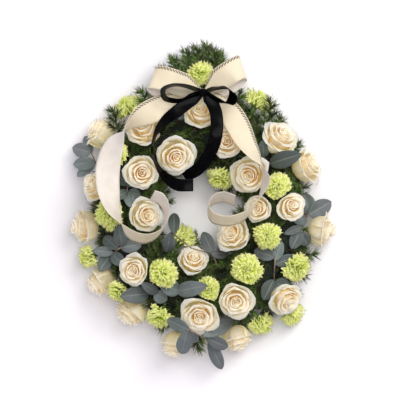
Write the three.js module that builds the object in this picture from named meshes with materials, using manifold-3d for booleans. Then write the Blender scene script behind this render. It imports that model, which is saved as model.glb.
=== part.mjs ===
// Funeral wreath, lying on its back: a straw ring bound with fir, set with cream roses, lime
// carnations and eucalyptus, and tied with a cream bow and a black satin bow.
// Millimetres, +Z up, the top of the wreath towards +Y.
import * as THREE from "three";
import { mergeVertices } from "three/addons/utils/BufferGeometryUtils.js";
import Module from "manifold-3d";

const wasm = await Module();
wasm.setup();

// Driving dimensions
const RING_RADIUS = 160; // centre circle of the straw ring
const STRAW_RADIUS = 36; // half thickness of the straw
const STRAW_HEIGHT = 32; // centre circle above the surface, so the back is a flat band
const FIR_RADIUS = 52; // outside of the fir binding, measured from the centre circle
const FIT = 0.4; // clearance between neighbouring pieces
const ROSE_WIDTH = 74;
const ROSE_HEIGHT = 64;
const CARNATION_WIDTH = 64;
const CARNATION_HEIGHT = 52;
const STEM_RADIUS = 2.6;
const STEM_CLEARANCE = 0.7;
const HOLE_EXTRA = 0.8; // how much deeper its hole is
const LEAST_RISE = 0.16; // a head at the rim still looks up by this angle, in radians
const STEM_DEPTH = 13; // how far a stem reaches into the fir binding
const GOLDEN_TURN = 2.39996;

const FINISHES = {
  straw: { color: 0xb59a62, roughness: 0.9 },
  fir: { color: 0x24401f, roughness: 0.7 },
  rose: { color: 0xeee6cf, roughness: 0.6 },
  carnation: { color: 0xc3d873, roughness: 0.6 },
  eucalyptus: { color: 0x5f7370, roughness: 0.7 },
  cream: { color: 0xe9d9b6, roughness: 0.8 },
  black: { color: 0x0d0d10, roughness: 0.3 },
};

// Plan places, from the centre of the ring: x, y and head width. "lift" raises the head on its
// stem, and "face" turns it from square to the ring towards facing up.
const ROSES = [
  { x: -2, y: 212, width: 70, face: 0.4, lift: -5 },
  { x: -118, y: 179, face: 0.3 },
  { x: -208, y: 172 },
  { x: -55, y: 124, width: 78, face: 0.3 },
  { x: -125, y: 89, width: 68, lift: -4 },
  { x: 52, y: 154, width: 70 },
  { x: 157, y: 159, width: 78 },
  { x: 100, y: 87, width: 82, face: 0.3, lift: -5 },
  { x: 214, y: 102 },
  { x: -216, y: 60, width: 64 },
  { x: -242, y: -23 },
  { x: -118, y: 2, width: 70, face: 0.6 },
  { x: 119, y: 16, width: 60, face: 0.5 },
  { x: 182, y: 20, width: 60 },
  { x: 247, y: -32 },
  { x: 67, y: -38, width: 74, face: 1.1, lift: 25 },
  { x: -20, y: -94, width: 64, face: 0.8 },
  { x: -139, y: -111, width: 62 },
  { x: -208, y: -137 },
  { x: -147, y: -199 },
  { x: -5, y: -203, width: 80, face: 0.8 },
  { x: 69, y: -172, width: 74, face: 0.3 },
  { x: 172, y: -170, width: 72, face: 0.3, lift: 38 },
  { x: 74, y: -254, width: 68 },
  { x: -56, y: -266, width: 66 },
];
const CARNATIONS = [
  { x: -152, y: 223 },
  { x: -2, y: 292, width: 60, face: 0.9, lift: 30 },
  { x: 114, y: 235 },
  { x: -177, y: 125, width: 58 },
  { x: -190, y: 4, width: 66 },
  { x: -232, y: -84, width: 56 },
  { x: 42, y: 83, width: 58 },
  { x: 155, y: 61, width: 62 },
  { x: 136, y: -40, width: 60 },
  { x: 93, y: -111, width: 70 },
  { x: 193, y: -108, width: 62 },
  { x: -38, y: -48, width: 56 },
  { x: -82, y: -118, width: 66 },
  { x: 14, y: -152, width: 54 },
  { x: -172, y: -155, width: 48, lift: 30 },
  { x: -87, y: -207, width: 58 },
  { x: 119, y: -223, width: 62 },
  { x: 186, y: -205, width: 54, lift: -16 },
  { x: 24, y: -243, width: 50, lift: -6 },
];

// Solids
const UP = new THREE.Vector3(0, 0, 1);
const vec = (x, y, z) => new THREE.Vector3(x, y, z);

function toSolid(geometry) {
  const bare = new THREE.BufferGeometry();
  bare.setAttribute("position", geometry.getAttribute("position").clone());
  if (geometry.index) bare.setIndex(geometry.index.clone());
  const merged = mergeVertices(bare, 1e-3);
  const whole = [];
  const index = merged.index.array;
  for (let i = 0; i < index.length; i += 3) {
    const [a, b, c] = [index[i], index[i + 1], index[i + 2]];
    if (a !== b && b !== c && c !== a) whole.push(a, b, c);
  }
  return new wasm.Manifold(
    new wasm.Mesh({
      numProp: 3,
      vertProperties: new Float32Array(merged.attributes.position.array),
      triVerts: new Uint32Array(whole),
    }),
  );
}

const toMicrons = (length) => Math.round(length * 1000) / 1000;

function toGeometry(solid) {
  const mesh = solid.getMesh();
  const geometry = new THREE.BufferGeometry();
  const corners = mesh.vertProperties.map(toMicrons);
  geometry.setAttribute("position", new THREE.BufferAttribute(corners, 3));
  geometry.setIndex(new THREE.BufferAttribute(mesh.triVerts, 1));
  geometry.computeVertexNormals();
  return geometry;
}

// The largest connected body: a loose scrap left by a cut is dropped.
function mainBody(solid) {
  const bodies = solid.decompose().sort((a, b) => b.volume() - a.volume());
  return bodies[0];
}

function joined(solids) {
  return wasm.Manifold.union(solids).simplify(0.1);
}

// One clean body: corners that nearly touch are merged and a loose scrap is dropped. Null if the
// body comes apart.
function cleaned(solid) {
  let body = mainBody(solid);
  for (let pass = 0; pass < 4; pass++) {
    const again = toSolid(toGeometry(body));
    if (again.isEmpty() || again.decompose().length !== 1) return null;
    if (again.numTri() === body.numTri()) return body;
    body = again;
  }
  return null;
}

function moveVertices(geometry, move) {
  const position = geometry.getAttribute("position");
  const point = vec(0, 0, 0);
  for (let i = 0; i < position.count; i++) {
    move(point.fromBufferAttribute(position, i), i);
    position.setXYZ(i, point.x, point.y, point.z);
  }
  return geometry;
}

function seeded(seed) {
  let state = seed >>> 0;
  return () => {
    state = (state + 0x6d2b79f5) >>> 0;
    let t = state;
    t = Math.imul(t ^ (t >>> 15), t | 1);
    t ^= t + Math.imul(t ^ (t >>> 7), t | 61);
    return ((t ^ (t >>> 14)) >>> 0) / 4294967296;
  };
}

// A straight rod with few sides.
function rod(from, to, radius, endRadius = radius, sides = 3) {
  const length = from.distanceTo(to);
  const geometry = new THREE.CylinderGeometry(endRadius, radius, length, sides);
  geometry.rotateX(Math.PI / 2);
  const along = to.clone().sub(from).normalize();
  const turn = new THREE.Quaternion().setFromUnitVectors(UP, along);
  geometry.applyQuaternion(turn);
  const middle = from.clone().add(to).multiplyScalar(0.5);
  geometry.translate(middle.x, middle.y, middle.z);
  return toSolid(geometry);
}

// A thin closed blade. place(u, v) gives the middle surface for u across and v along, each from 0
// to 1, and both faces are split into triangles alike. An end may run out to a point.
function blade(across, along, thickness, place) {
  const stride = across + 1;
  const middle = [];
  for (let j = 0; j <= along; j++)
    for (let i = 0; i <= across; i++) middle.push(place(i / across, j / along));
  const normals = middle.map(() => vec(0, 0, 0));
  const faces = [];
  for (let j = 0; j < along; j++)
    for (let i = 0; i < across; i++) {
      const a = j * stride + i;
      const [b, c, d] = [a + 1, a + stride + 1, a + stride];
      if (i < across / 2) faces.push([a, b, c], [a, c, d]);
      else faces.push([a, b, d], [b, c, d]);
    }
  for (const [a, b, c] of faces) {
    const edge = middle[b].clone().sub(middle[a]);
    const normal = edge.cross(middle[c].clone().sub(middle[a]));
    for (const k of [a, b, c]) normals[k].add(normal);
  }
  const count = middle.length;
  const position = new Float32Array(count * 6);
  for (const first of [0, along * stride]) {
    if (middle[first].distanceTo(middle[first + across]) > 0) continue;
    const shared = vec(0, 0, 0);
    for (let i = 0; i <= across; i++) shared.add(normals[first + i]);
    for (let i = 0; i <= across; i++) normals[first + i] = shared.clone();
  }
  middle.forEach((p, k) => {
    const half = normals[k].normalize().multiplyScalar(thickness / 2);
    position.set([p.x + half.x, p.y + half.y, p.z + half.z], k * 3);
    position.set([p.x - half.x, p.y - half.y, p.z - half.z], (count + k) * 3);
  });
  const index = [];
  for (const [a, b, c] of faces) index.push(a, b, c, count + a, count + c, count + b);
  const rim = [];
  for (let i = 0; i < across; i++) rim.push([i, i + 1]);
  for (let j = 0; j < along; j++) rim.push([j * stride + across, (j + 1) * stride + across]);
  for (let i = across; i > 0; i--) rim.push([along * stride + i, along * stride + i - 1]);
  for (let j = along; j > 0; j--) rim.push([j * stride, (j - 1) * stride]);
  for (const [a, b] of rim) index.push(b, a, count + a, b, count + a, count + b);
  const geometry = new THREE.BufferGeometry();
  geometry.setAttribute("position", new THREE.BufferAttribute(position, 3));
  geometry.setIndex(index);
  return geometry;
}

// Where a bloom sits: its head's centre and axis, and where its stem meets the ring.
function seat(bloom, index, kind) {
  const isRose = kind === "rose";
  const width = bloom.width ?? (isRose ? ROSE_WIDTH : CARNATION_WIDTH);
  const scale = width / (isRose ? ROSE_WIDTH : CARNATION_WIDTH);
  const height = (isRose ? ROSE_HEIGHT : CARNATION_HEIGHT) * (0.5 + scale / 2);
  const reach = Math.hypot(bloom.x, bloom.y);
  const outward = vec(bloom.x / reach, bloom.y / reach, 0);
  const offset = reach - RING_RADIUS;
  const usual = FIR_RADIUS + 1 + height * 0.52;
  const distance = Math.max(usual, Math.abs(offset) / Math.cos(LEAST_RISE));
  const rise = Math.sqrt(distance ** 2 - offset ** 2) + (bloom.lift ?? 0);
  const core = outward.clone().multiplyScalar(RING_RADIUS).setZ(STRAW_HEIGHT);
  const centre = outward.clone().multiplyScalar(reach).setZ(STRAW_HEIGHT + rise);
  const normal = centre.clone().sub(core).normalize();
  const axis = normal.clone().addScaledVector(UP, bloom.face ?? 0).normalize();
  const base = centre.clone().addScaledVector(axis, -height * 0.5);
  const outOfRing = base.clone().sub(core).normalize();
  const stemEnd = core.clone().addScaledVector(outOfRing, FIR_RADIUS - STEM_DEPTH);
  const holeEnd = stemEnd.clone().addScaledVector(outOfRing, -HOLE_EXTRA);
  return { kind, index, width, height, radius: width / 2, centre, axis, base, outOfRing, stemEnd, holeEnd };
}

const roses = ROSES.map((bloom, i) => seat(bloom, i, "rose"));
const carnations = CARNATIONS.map((bloom, i) => seat(bloom, i, "carnation"));
const blooms = [...roses, ...carnations];

// Neighbouring heads press against each other along the plane between them: each keeps to its own
// side, so its points are drawn in towards its centre as they near that plane.
for (const bloom of blooms) {
  bloom.walls = [];
  for (const other of blooms) {
    if (other === bloom) continue;
    const between = other.centre.clone().sub(bloom.centre);
    const gap = between.length();
    if (gap > bloom.radius * 1.25 + other.radius * 1.25) continue;
    const share = bloom.radius / (bloom.radius + other.radius);
    bloom.walls.push({ normal: between.normalize(), limit: gap * share - FIT / 2 });
  }
}

const FREE_SHARE = 0.7; // of the way to that plane, where a head keeps its own shape

function pressed(point, bloom) {
  const ray = point.clone().sub(bloom.centre);
  const length = ray.length();
  if (length < 1e-6) return;
  ray.divideScalar(length);
  let room = Infinity;
  for (const wall of bloom.walls) {
    const facing = ray.dot(wall.normal);
    if (facing > 1e-3) room = Math.min(room, wall.limit / facing);
  }
  const part = length / room;
  if (part <= FREE_SHARE) return;
  const squeezed = 1 - Math.exp(-(part - FREE_SHARE) / (1 - FREE_SHARE));
  const kept = FREE_SHARE + (1 - FREE_SHARE) * squeezed;
  point.copy(bloom.centre).addScaledVector(ray, kept * room);
}

// A bloom is turned in one piece about +Z: a three-sided stem, then petals in whorls, one inside
// another. Each step of the profile is [radius, height, petals, dip, swing]: the rim dips where two
// petals of that whorl meet, and each petal's far edge swings out over the next one.
const STEM_STEPS = 3; // profile points of the stem: middle of its cut end, cut end, top
const STEM_SIDES = 3;

function bloomGeometry(profile, segments, bloom) {
  const stem = Array.from({ length: STEM_STEPS }, (_, k) => [0, k]);
  const steps = [...stem, ...profile];
  const points = steps.map(([r, z]) => new THREE.Vector2((r * bloom.width) / 2, z * bloom.height));
  const geometry = new THREE.LatheGeometry(points, segments);
  const turn = new THREE.Quaternion().setFromUnitVectors(UP, bloom.axis);
  const stemTurn = new THREE.Quaternion().setFromUnitVectors(UP, bloom.outOfRing);
  const twist = bloom.index * GOLDEN_TURN;
  moveVertices(geometry, (point, i) => {
    const k = i % steps.length;
    const step = Math.floor(i / steps.length) % segments;
    const angle = (step / segments) * 2 * Math.PI + twist;
    if (k < STEM_STEPS) {
      const side = (Math.round((angle / (2 * Math.PI)) * STEM_SIDES) / STEM_SIDES) * 2 * Math.PI;
      const radius = k === 0 ? 0 : STEM_RADIUS;
      point.set(radius * Math.sin(side), -radius * Math.cos(side), 0).applyQuaternion(stemTurn);
      point.add(k === STEM_STEPS - 1 ? bloom.base : bloom.stemEnd);
      return;
    }
    const [radius, height, petals = 0, dip = 0, swing = 0, phase = 0] = steps[k];
    const part = (((step / segments) * petals + phase) % 1 + 1) % 1;
    const out = (radius * bloom.width * (petals ? 1 + swing * (part - 0.4) : 1)) / 2;
    const up = height * bloom.height - (petals && part < 0.01 ? dip * bloom.height : 0);
    point.set(out * Math.sin(angle), -out * Math.cos(angle), up).applyQuaternion(turn).add(bloom.base);
    pressed(point, bloom);
  });
  return geometry;
}

const ROSE_SEGMENTS = 12;
const ROSE_PROFILE = [
  [0.66, 0.24, 4, 0, 0.05],
  [1.0, 0.7, 4, 0.1, 0.16],
  [0.78, 0.62, 4, 0, 0.1],
  [0.8, 0.9, 4, 0.1, 0.18, 0.34],
  [0.5, 0.76, 3, 0, 0.1],
  [0.48, 1.0, 3, 0.08, 0.26],
  [0.2, 0.82, 3, 0, 0.1],
  [0, 0.92],
];
const CARNATION_SEGMENTS = 12;
const CARNATION_PROFILE = [
  [0.24, 0.36],
  [1.0, 0.6, 6, -0.1, -0.2],
  [0.68, 0.72, 6, 0, 0.1],
  [0.76, 0.94, 6, 0.09, -0.24],
  [0.36, 0.86, 6, 0, 0.1],
  [0.3, 1.04, 6, 0.1, -0.2],
  [0, 0.92],
];

for (const bloom of blooms) {
  const isRose = bloom.kind === "rose";
  const profile = isRose ? ROSE_PROFILE : CARNATION_PROFILE;
  const segments = isRose ? ROSE_SEGMENTS : CARNATION_SEGMENTS;
  bloom.solid = toSolid(bloomGeometry(profile, segments, bloom));
  bloom.hole = rod(bloom.holeEnd, bloom.base, STEM_RADIUS + STEM_CLEARANCE);
  bloom.name = `${bloom.kind}_${String(bloom.index + 1).padStart(2, "0")}`;
}

// The height that something laid on the blooms rests at, over a point of the plan.
function topOfBlooms(x, y) {
  const ring = Math.hypot(x, y) - RING_RADIUS;
  let top = Math.abs(ring) < FIR_RADIUS ? STRAW_HEIGHT + Math.sqrt(FIR_RADIUS ** 2 - ring ** 2) : 40;
  for (const bloom of blooms) {
    const away = Math.hypot(x - bloom.centre.x, y - bloom.centre.y);
    const radius = Math.max(bloom.radius, bloom.height / 2);
    if (away < radius) top = Math.max(top, bloom.centre.z + Math.sqrt(radius ** 2 - away ** 2));
  }
  return top;
}

// Straw ring: a bound bundle of straw with a flat back, which the wreath lies on.
const RING_STEPS = 24;
const SECTION_STEPS = 8;
const FLAT_ANGLE = Math.asin(STRAW_HEIGHT / STRAW_RADIUS);

function sectionPoint(radius, angle) {
  const x = RING_RADIUS + radius * Math.cos(angle);
  return new THREE.Vector2(x, STRAW_HEIGHT + radius * Math.sin(angle));
}

function sectionAngle(step) {
  return -FLAT_ANGLE + ((Math.PI + 2 * FLAT_ANGLE) * step) / SECTION_STEPS;
}

function strawRing() {
  const points = [];
  for (let k = 0; k <= SECTION_STEPS; k++) points.push(sectionPoint(STRAW_RADIUS, sectionAngle(k)));
  points.push(points[0].clone());
  return toSolid(new THREE.LatheGeometry(points, RING_STEPS).rotateX(Math.PI / 2));
}

// Fir binding: short twigs wired round the ring in four lengths. Each length has a rough core of
// twig butts over the straw, open at the back, and the sprays of needles stand out of it.
const FIR_LENGTHS = 4;
const FIR_ROUGHNESS = 4.5;
const FIR_FIRST_CUT = 0.3 * Math.PI;

function firBinding() {
  const random = seeded(11);
  const inner = [];
  const outer = [];
  for (let k = 1; k < SECTION_STEPS; k++) {
    inner.push(sectionPoint(STRAW_RADIUS + 2 * FIT, sectionAngle(k)));
    outer.push(sectionPoint(FIR_RADIUS, sectionAngle(k)));
  }
  const points = [...outer, ...inner.reverse(), outer[0].clone()];
  const geometry = new THREE.LatheGeometry(points, RING_STEPS);
  const rough = Array.from({ length: RING_STEPS * points.length }, () => random() * FIR_ROUGHNESS);
  moveVertices(geometry, (point, i) => {
    const k = i % points.length;
    if (k >= outer.length && k < points.length - 1) return;
    const step = Math.floor(i / points.length) % RING_STEPS;
    const radius = Math.hypot(point.x, point.z);
    const depth = rough[step * points.length + (k % (points.length - 1))];
    const [across, rise] = [radius - RING_RADIUS, point.y - STRAW_HEIGHT];
    const shrink = 1 - depth / Math.hypot(across, rise);
    const newRadius = RING_RADIUS + across * shrink;
    const scale = newRadius / radius;
    point.set(point.x * scale, STRAW_HEIGHT + rise * shrink, point.z * scale);
  });
  let ring = toSolid(geometry.rotateX(Math.PI / 2));
  const span = RING_RADIUS * 2;
  for (let k = 0; k < FIR_LENGTHS; k++) {
    const knife = new THREE.BoxGeometry(span, FIT, span);
    knife.translate(span / 2, 0, 0).rotateZ(FIR_FIRST_CUT + (k * 2 * Math.PI) / FIR_LENGTHS);
    ring = ring.subtract(toSolid(knife));
  }
  return ring.decompose();
}

// Ribbons: each is a list of [x, y, z, wx, wy, wz]: a point of its middle line and the way across
// it, from its patterned edge to its plain one. An end is pinched to a share of the width where it
// is gathered into the knot.
const CREAM_WIDTH = 50;
const BLACK_WIDTH = 26;
const RIBBON_THICKNESS = 0.8;
const WIRE_RADIUS = 1.2;

const KNOT = vec(2, 256, 138);
const CREAM_LOOPS = [
  [
    [-4, 256, 132, -0.2, -0.98, 0],
    [-36, 268, 146, -0.3, -0.95, 0],
    [-74, 281, 156, -0.33, -0.94, 0.1],
    [-98, 285, 149, -0.35, -0.93, 0.1],
    [-103, 281, 136, -0.35, -0.93, 0.1],
    [-91, 271, 127, -0.33, -0.94, 0.1],
    [-46, 260, 122, -0.2, -0.97, 0],
    [-4, 254, 125, -0.1, -0.99, 0],
  ],
  [
    [8, 256, 132, 0.3, -0.95, 0],
    [36, 279, 148, 0.58, -0.81, 0],
    [62, 297, 160, 0.45, -0.89, 0.1],
    [80, 306, 152, 0.3, -0.95, 0.1],
    [85, 302, 138, 0.3, -0.95, 0.1],
    [76, 290, 129, 0.35, -0.93, 0.1],
    [42, 270, 122, 0.5, -0.86, 0],
    [8, 254, 125, 0.2, -0.98, 0],
  ],
];
const CREAM_TAILS = [
  [
    [-4, 252, 128, 0.3, -0.95, 0],
    [-34, 242, 130, 0.4, -0.9, 0],
    [-66, 232, 134, 0.5, -0.86, 0.05],
    [-112, 211, 148, 0.5, -0.8, -0.3],
    [-152, 185, 158, 0.1, -0.25, -0.95],
    [-180, 147, 156, -0.75, 0.3, -0.6],
    [-193, 96, 150, -0.98, 0.05, 0.05],
    [-190, 46, 152, -0.85, -0.1, 0.5],
    [-176, 4, 163, -0.4, -0.05, 0.9],
    [-158, -28, 142, 0.05, 0.35, 0.93],
    [-138, -42, 131, 0.15, 0.42, 0.88],
    [-114, -46, 127, 0.2, 0.42, 0.88],
    [-90, -36, 129, 0.2, 0.42, 0.88],
    [-75, -14, 136, 0.2, 0.42, 0.88],
    [-73, 14, 146, 0.2, 0.42, 0.88],
    [-84, 34, 154, 0.2, 0.42, 0.88],
    [-102, 42, 158, 0.25, 0.4, 0.88],
  ],
  [
    [8, 252, 128, -0.5, -0.85, 0],
    [28, 241, 131, -0.7, -0.7, 0],
    [50, 222, 134, -0.8, -0.6, 0.05],
    [74, 186, 152, -0.9, -0.4, 0.2],
    [92, 150, 162, -0.75, -0.3, 0.6],
    [110, 122, 172, -0.4, -0.2, 0.9],
    [126, 98, 172, 0.1, 0, 0.99],
    [132, 74, 168, 0.3, 0.05, 0.95],
    [124, 48, 162, 0.25, 0.15, 0.95],
    [106, 20, 157, 0.1, 0.35, 0.93],
    [88, 0, 140, 0.05, 0.42, 0.9],
    [66, -9, 132, 0.05, 0.44, 0.9],
    [42, -10, 128, 0.05, 0.44, 0.9],
    [20, -2, 126, 0.05, 0.44, 0.9],
    [12, 16, 126, 0.05, 0.44, 0.9],
    [22, 34, 127, 0.05, 0.44, 0.9],
    [46, 40, 128, 0.05, 0.44, 0.9],
    [68, 32, 129, 0.05, 0.44, 0.9],
  ],
];
const BLACK_LOOPS = [
  [
    [-3, 256, 150, 0.1, -0.6, 0.8],
    [-30, 264, 174, 0, -0.35, 0.94],
    [-60, 266, 180, 0.1, -0.3, 0.95],
    [-78, 258, 178, 0.4, -0.1, 0.92],
    [-76, 242, 172, 0.3, 0.3, 0.9],
    [-52, 236, 166, 0.1, 0.3, 0.95],
    [-24, 244, 158, 0, 0.2, 0.98],
    [-3, 250, 150, 0, 0.5, 0.86],
  ],
  [
    [7, 256, 150, -0.1, -0.6, 0.8],
    [30, 262, 172, -0.1, -0.35, 0.93],
    [52, 262, 180, 0.3, -0.3, 0.9],
    [64, 248, 176, 0.6, -0.5, 0.6],
    [56, 230, 166, 0.6, -0.3, 0.7],
    [34, 236, 158, 0.1, 0.3, 0.95],
    [7, 250, 150, 0, 0.5, 0.86],
  ],
];
const BLACK_TAILS = [
  [
    [-3, 250, 148, 0.4, -0.9, 0],
    [-24, 236, 150, 0.6, -0.8, 0],
    [-52, 214, 152, 0.65, -0.75, 0.1],
    [-80, 190, 154, 0.6, -0.4, 0.7],
    [-96, 162, 156, 0.3, -0.1, 0.95],
    [-101, 130, 155, 0.2, 0, 0.98],
    [-89, 98, 145, 0.3, 0.2, 0.93],
    [-72, 79, 121, 0.4, 0.6, 0.7],
    [-52, 65, 106, 0.1, 0.98, 0.2],
    [-18, 64, 102, 0, 1, 0],
  ],
  [
    [8, 250, 148, -0.8, -0.6, 0],
    [22, 230, 148, -0.95, -0.3, 0],
    [30, 204, 152, -1, -0.1, 0],
    [28, 160, 156, -0.95, 0.3, 0],
    [12, 122, 138, -0.85, 0.5, 0.1],
    [-12, 94, 112, -0.7, 0.7, 0.1],
    [-38, 82, 90, -0.5, 0.8, 0.3],
  ],
];

function ribbon(points, width, steps, pinchStart, pinchEnd) {
  const line = new THREE.CatmullRomCurve3(points.map(([x, y, z]) => vec(x, y, z)));
  const across = new THREE.CatmullRomCurve3(points.map(([, , , x, y, z]) => vec(x, y, z)));
  const geometry = blade(1, steps, RIBBON_THICKNESS, (u, v) => {
    const middle = line.getPoint(v);
    const way = across.getPoint(v).normalize();
    const gather = Math.min(1, pinchStart + v * 5, pinchEnd + (1 - v) * 5);
    return middle.addScaledVector(way, (u - 0.5) * width * gather);
  });
  return toSolid(geometry);
}

function knot(centre, x, y, z) {
  const geometry = new THREE.SphereGeometry(1, 6, 4);
  geometry.scale(x, y, z).translate(centre.x, centre.y, centre.z);
  return toSolid(geometry);
}

function creamRibbon() {
  const pieces = [
    ...CREAM_LOOPS.map((points) => ribbon(points, CREAM_WIDTH, 14, 0.3, 0.3)),
    ...CREAM_TAILS.map((points) => ribbon(points, CREAM_WIDTH, 26, 0.3, 1)),
    knot(vec(KNOT.x, KNOT.y - 3, 131.5), 10, 10, 11.8),
  ];
  return joined(pieces);
}

function blackRibbon() {
  const pieces = [
    ...BLACK_LOOPS.map((points) => ribbon(points, BLACK_WIDTH, 12, 0.6, 0.6)),
    ...BLACK_TAILS.map((points) => ribbon(points, BLACK_WIDTH, 16, 0.6, 1)),
    knot(vec(KNOT.x, KNOT.y - 3, 149), 9, 9, 8),
  ];
  return joined(pieces);
}

// Eucalyptus: branches of round grey-green leaves laid over the blooms. Each has the plan points of
// its stem, the first of them where it goes down into the fir, and its leaves: the stem point a
// leaf grows from, the plan place of its tip, and its width.
const LEAF_THICKNESS = 0.8;
const TWIG_RADIUS = 1.5;
const BRANCHES = [
  {
    stem: [[-222, 110], [-232, 132]],
    leaves: [[0, -270, 108, 27], [0, -262, 82, 20], [1, -272, 143, 28], [1, -246, 168, 18]],
  },
  {
    stem: [[-154, 48], [-156, 62]],
    leaves: [[1, -176, 88, 20], [1, -138, 86, 20], [0, -128, 44, 22], [0, -146, 16, 20], [0, -182, 34, 18]],
  },
  {
    stem: [[-166, -64], [-192, -82]],
    leaves: [
      [0, -172, -16, 26], [0, -124, -58, 26], [0, -206, -44, 24],
      [1, -214, -116, 26], [1, -158, -104, 24], [1, -228, -72, 20],
    ],
  },
  {
    stem: [[-110, -162], [-44, -156]],
    leaves: [
      [0, -170, -166, 32], [0, -72, -176, 26], [1, -88, -142, 30], [1, 12, -142, 30],
      [0, -126, -138, 20],
    ],
  },
  {
    stem: [[24, -80], [-22, -66], [-64, -34]],
    leaves: [[0, 2, -34, 24], [0, 54, -78, 22], [2, -74, -76, 24], [2, -58, 6, 22]],
  },
  {
    stem: [[140, 108], [128, 122]],
    leaves: [[0, 206, 128, 32], [1, 126, 158, 22], [1, 108, 132, 20]],
  },
  {
    stem: [[224, 6], [204, -34]],
    leaves: [
      [0, 214, 48, 32], [0, 272, 30, 32], [0, 190, -12, 22], [1, 222, -62, 26], [1, 186, -70, 26],
      [1, 170, -38, 16],
    ],
  },
  {
    stem: [[152, -86], [150, -140]],
    leaves: [[0, 108, -72, 26], [0, 166, -52, 20], [1, 184, -150, 30], [1, 128, -176, 30], [0, 196, -84, 22]],
  },
  {
    stem: [[14, -256], [-30, -232]],
    leaves: [
      [1, -42, -286, 28], [1, -72, -214, 24], [0, 42, -322, 24], [0, 54, -274, 24], [0, 66, -216, 28],
      [1, -16, -262, 18],
    ],
  },
];

const LEAF_ROWS = [[0, 0], [0.34, 0.92], [0.74, 0.9], [1, 0]]; // share of length, share of width
const LEAF_FOLD = 0.3;
const LEAF_ARCH = 0.06;

function leaf(base, tip, width, thickness) {
  const along = tip.clone().sub(base);
  const length = along.length();
  along.divideScalar(length);
  const side = along.clone().cross(UP).normalize();
  const up = side.clone().cross(along);
  return blade(2, LEAF_ROWS.length - 1, thickness, (u, v) => {
    const [share, wide] = LEAF_ROWS[Math.round(v * (LEAF_ROWS.length - 1))];
    const out = (u - 0.5) * width * wide;
    const rise = Math.abs(out) * LEAF_FOLD + Math.sin(share * Math.PI) * length * LEAF_ARCH;
    const point = base.clone().addScaledVector(along, share * length);
    return point.addScaledVector(side, out).addScaledVector(up, rise);
  });
}

function hits(solid, obstacles) {
  return obstacles.some((obstacle) => !solid.intersect(obstacle).isEmpty());
}

// A leaf turns up or down about its base until it clears what lies under and over it.
const STEEPEST_LEAF = 0.9;
const LEAF_SPARE = 1; // width and thickness kept clear round a leaf

function settledLeaf(base, x, y, width, obstacles) {
  const reach = Math.hypot(x - base.x, y - base.y);
  const wanted = (topOfBlooms(x, y) + 2 - base.z) / reach;
  const slopes = [];
  for (let slope = -STEEPEST_LEAF; slope <= STEEPEST_LEAF; slope += 0.06) slopes.push(slope);
  slopes.sort((a, b) => Math.abs(a - wanted) - Math.abs(b - wanted));
  for (const slope of slopes) {
    const tip = vec(x, y, base.z + slope * reach);
    const roomy = toSolid(leaf(base, tip, width + LEAF_SPARE, LEAF_THICKNESS + LEAF_SPARE));
    if (!hits(roomy, obstacles)) return toSolid(leaf(base, tip, width, LEAF_THICKNESS));
  }
  return null;
}

// The way down for a stem from a point above the blooms: a straight line to the fir that is clear.
function wayDown(point, obstacles) {
  const bearing = Math.atan2(point.y, point.x);
  const depth = FIR_RADIUS - STEM_DEPTH;
  const ends = [];
  for (let turn = -0.3; turn <= 0.3; turn += 0.03)
    for (let around = 0.1; around < 0.95; around += 0.06) {
      const angle = around * Math.PI;
      const reach = RING_RADIUS + depth * Math.cos(angle);
      const height = STRAW_HEIGHT + depth * Math.sin(angle);
      ends.push(vec(reach * Math.cos(bearing + turn), reach * Math.sin(bearing + turn), height));
    }
  ends.sort((a, b) => a.distanceTo(point) - b.distanceTo(point));
  return ends.find((end) => !hits(rod(point, end, TWIG_RADIUS + STEM_CLEARANCE), obstacles));
}

// A branch is raised off the blooms a step at a time until its stem, its leaves and its way down
// are all clear. "above" holds what its leaves lie among, and "below" what its stem goes down past.
const LEAF_STEP = 0.14; // share of a stem length between leaves from one point

function eucalyptus({ stem, leaves }, below, above) {
  for (let lift = 2; lift < 70; lift += 4) {
    const points = stem.map(([x, y]) => vec(x, y, topOfBlooms(x, y) + lift));
    const pieces = [];
    for (let k = 1; k < points.length; k++) pieces.push(rod(points[k - 1], points[k], TWIG_RADIUS));
    if (pieces.some((piece) => hits(piece, above))) continue;
    const grown = points.map(() => 0);
    const blades = leaves.map(([at, x, y, width]) => {
      const next = points[at + 1] ?? points[at - 1];
      const base = points[at].clone().lerp(next, grown[at]++ * LEAF_STEP);
      return settledLeaf(base, x, y, width, above);
    });
    const end = wayDown(points[0], below);
    if (!end || blades.includes(null)) continue;
    const upward = points[0].clone().sub(end).normalize();
    const foot = end.clone().addScaledVector(upward, -HOLE_EXTRA);
    const hole = rod(foot, points[0], TWIG_RADIUS + STEM_CLEARANCE);
    const root = rod(end, points[0].clone().add(upward), TWIG_RADIUS);
    const solid = cleaned(joined([...pieces, ...blades, root]));
    if (solid) return { solid, hole };
  }
  return null;
}

const straw = strawRing();
const firLengths = firBinding();
const heads = joined(blooms.map((bloom) => bloom.solid));
const holes = blooms.map((bloom) => bloom.hole);

// The bow's tie wire goes down between two blooms and bends in to the fir.
const wireTop = vec(KNOT.x + 7, KNOT.y, KNOT.z - 12);
const wireBend = vec(KNOT.x + 20, KNOT.y + 1, 43);
const wireEnd = wayDown(wireBend, [heads, ...holes, straw]);
const wire = [rod(wireEnd, wireBend, WIRE_RADIUS), rod(wireBend, wireTop, WIRE_RADIUS)];
holes.push(rod(wireEnd, wireBend, WIRE_RADIUS + STEM_CLEARANCE));
const cream = cleaned(joined([creamRibbon(), ...wire]));
const black = cleaned(blackRibbon());

const placed = [heads, cream, black];
const branches = [];
for (const plan of BRANCHES) {
  const branch = eucalyptus(plan, [...placed, ...holes, straw], [...placed, ...firLengths]);
  branches.push(branch.solid);
  holes.push(branch.hole);
  placed.push(branch.solid);
}

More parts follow.
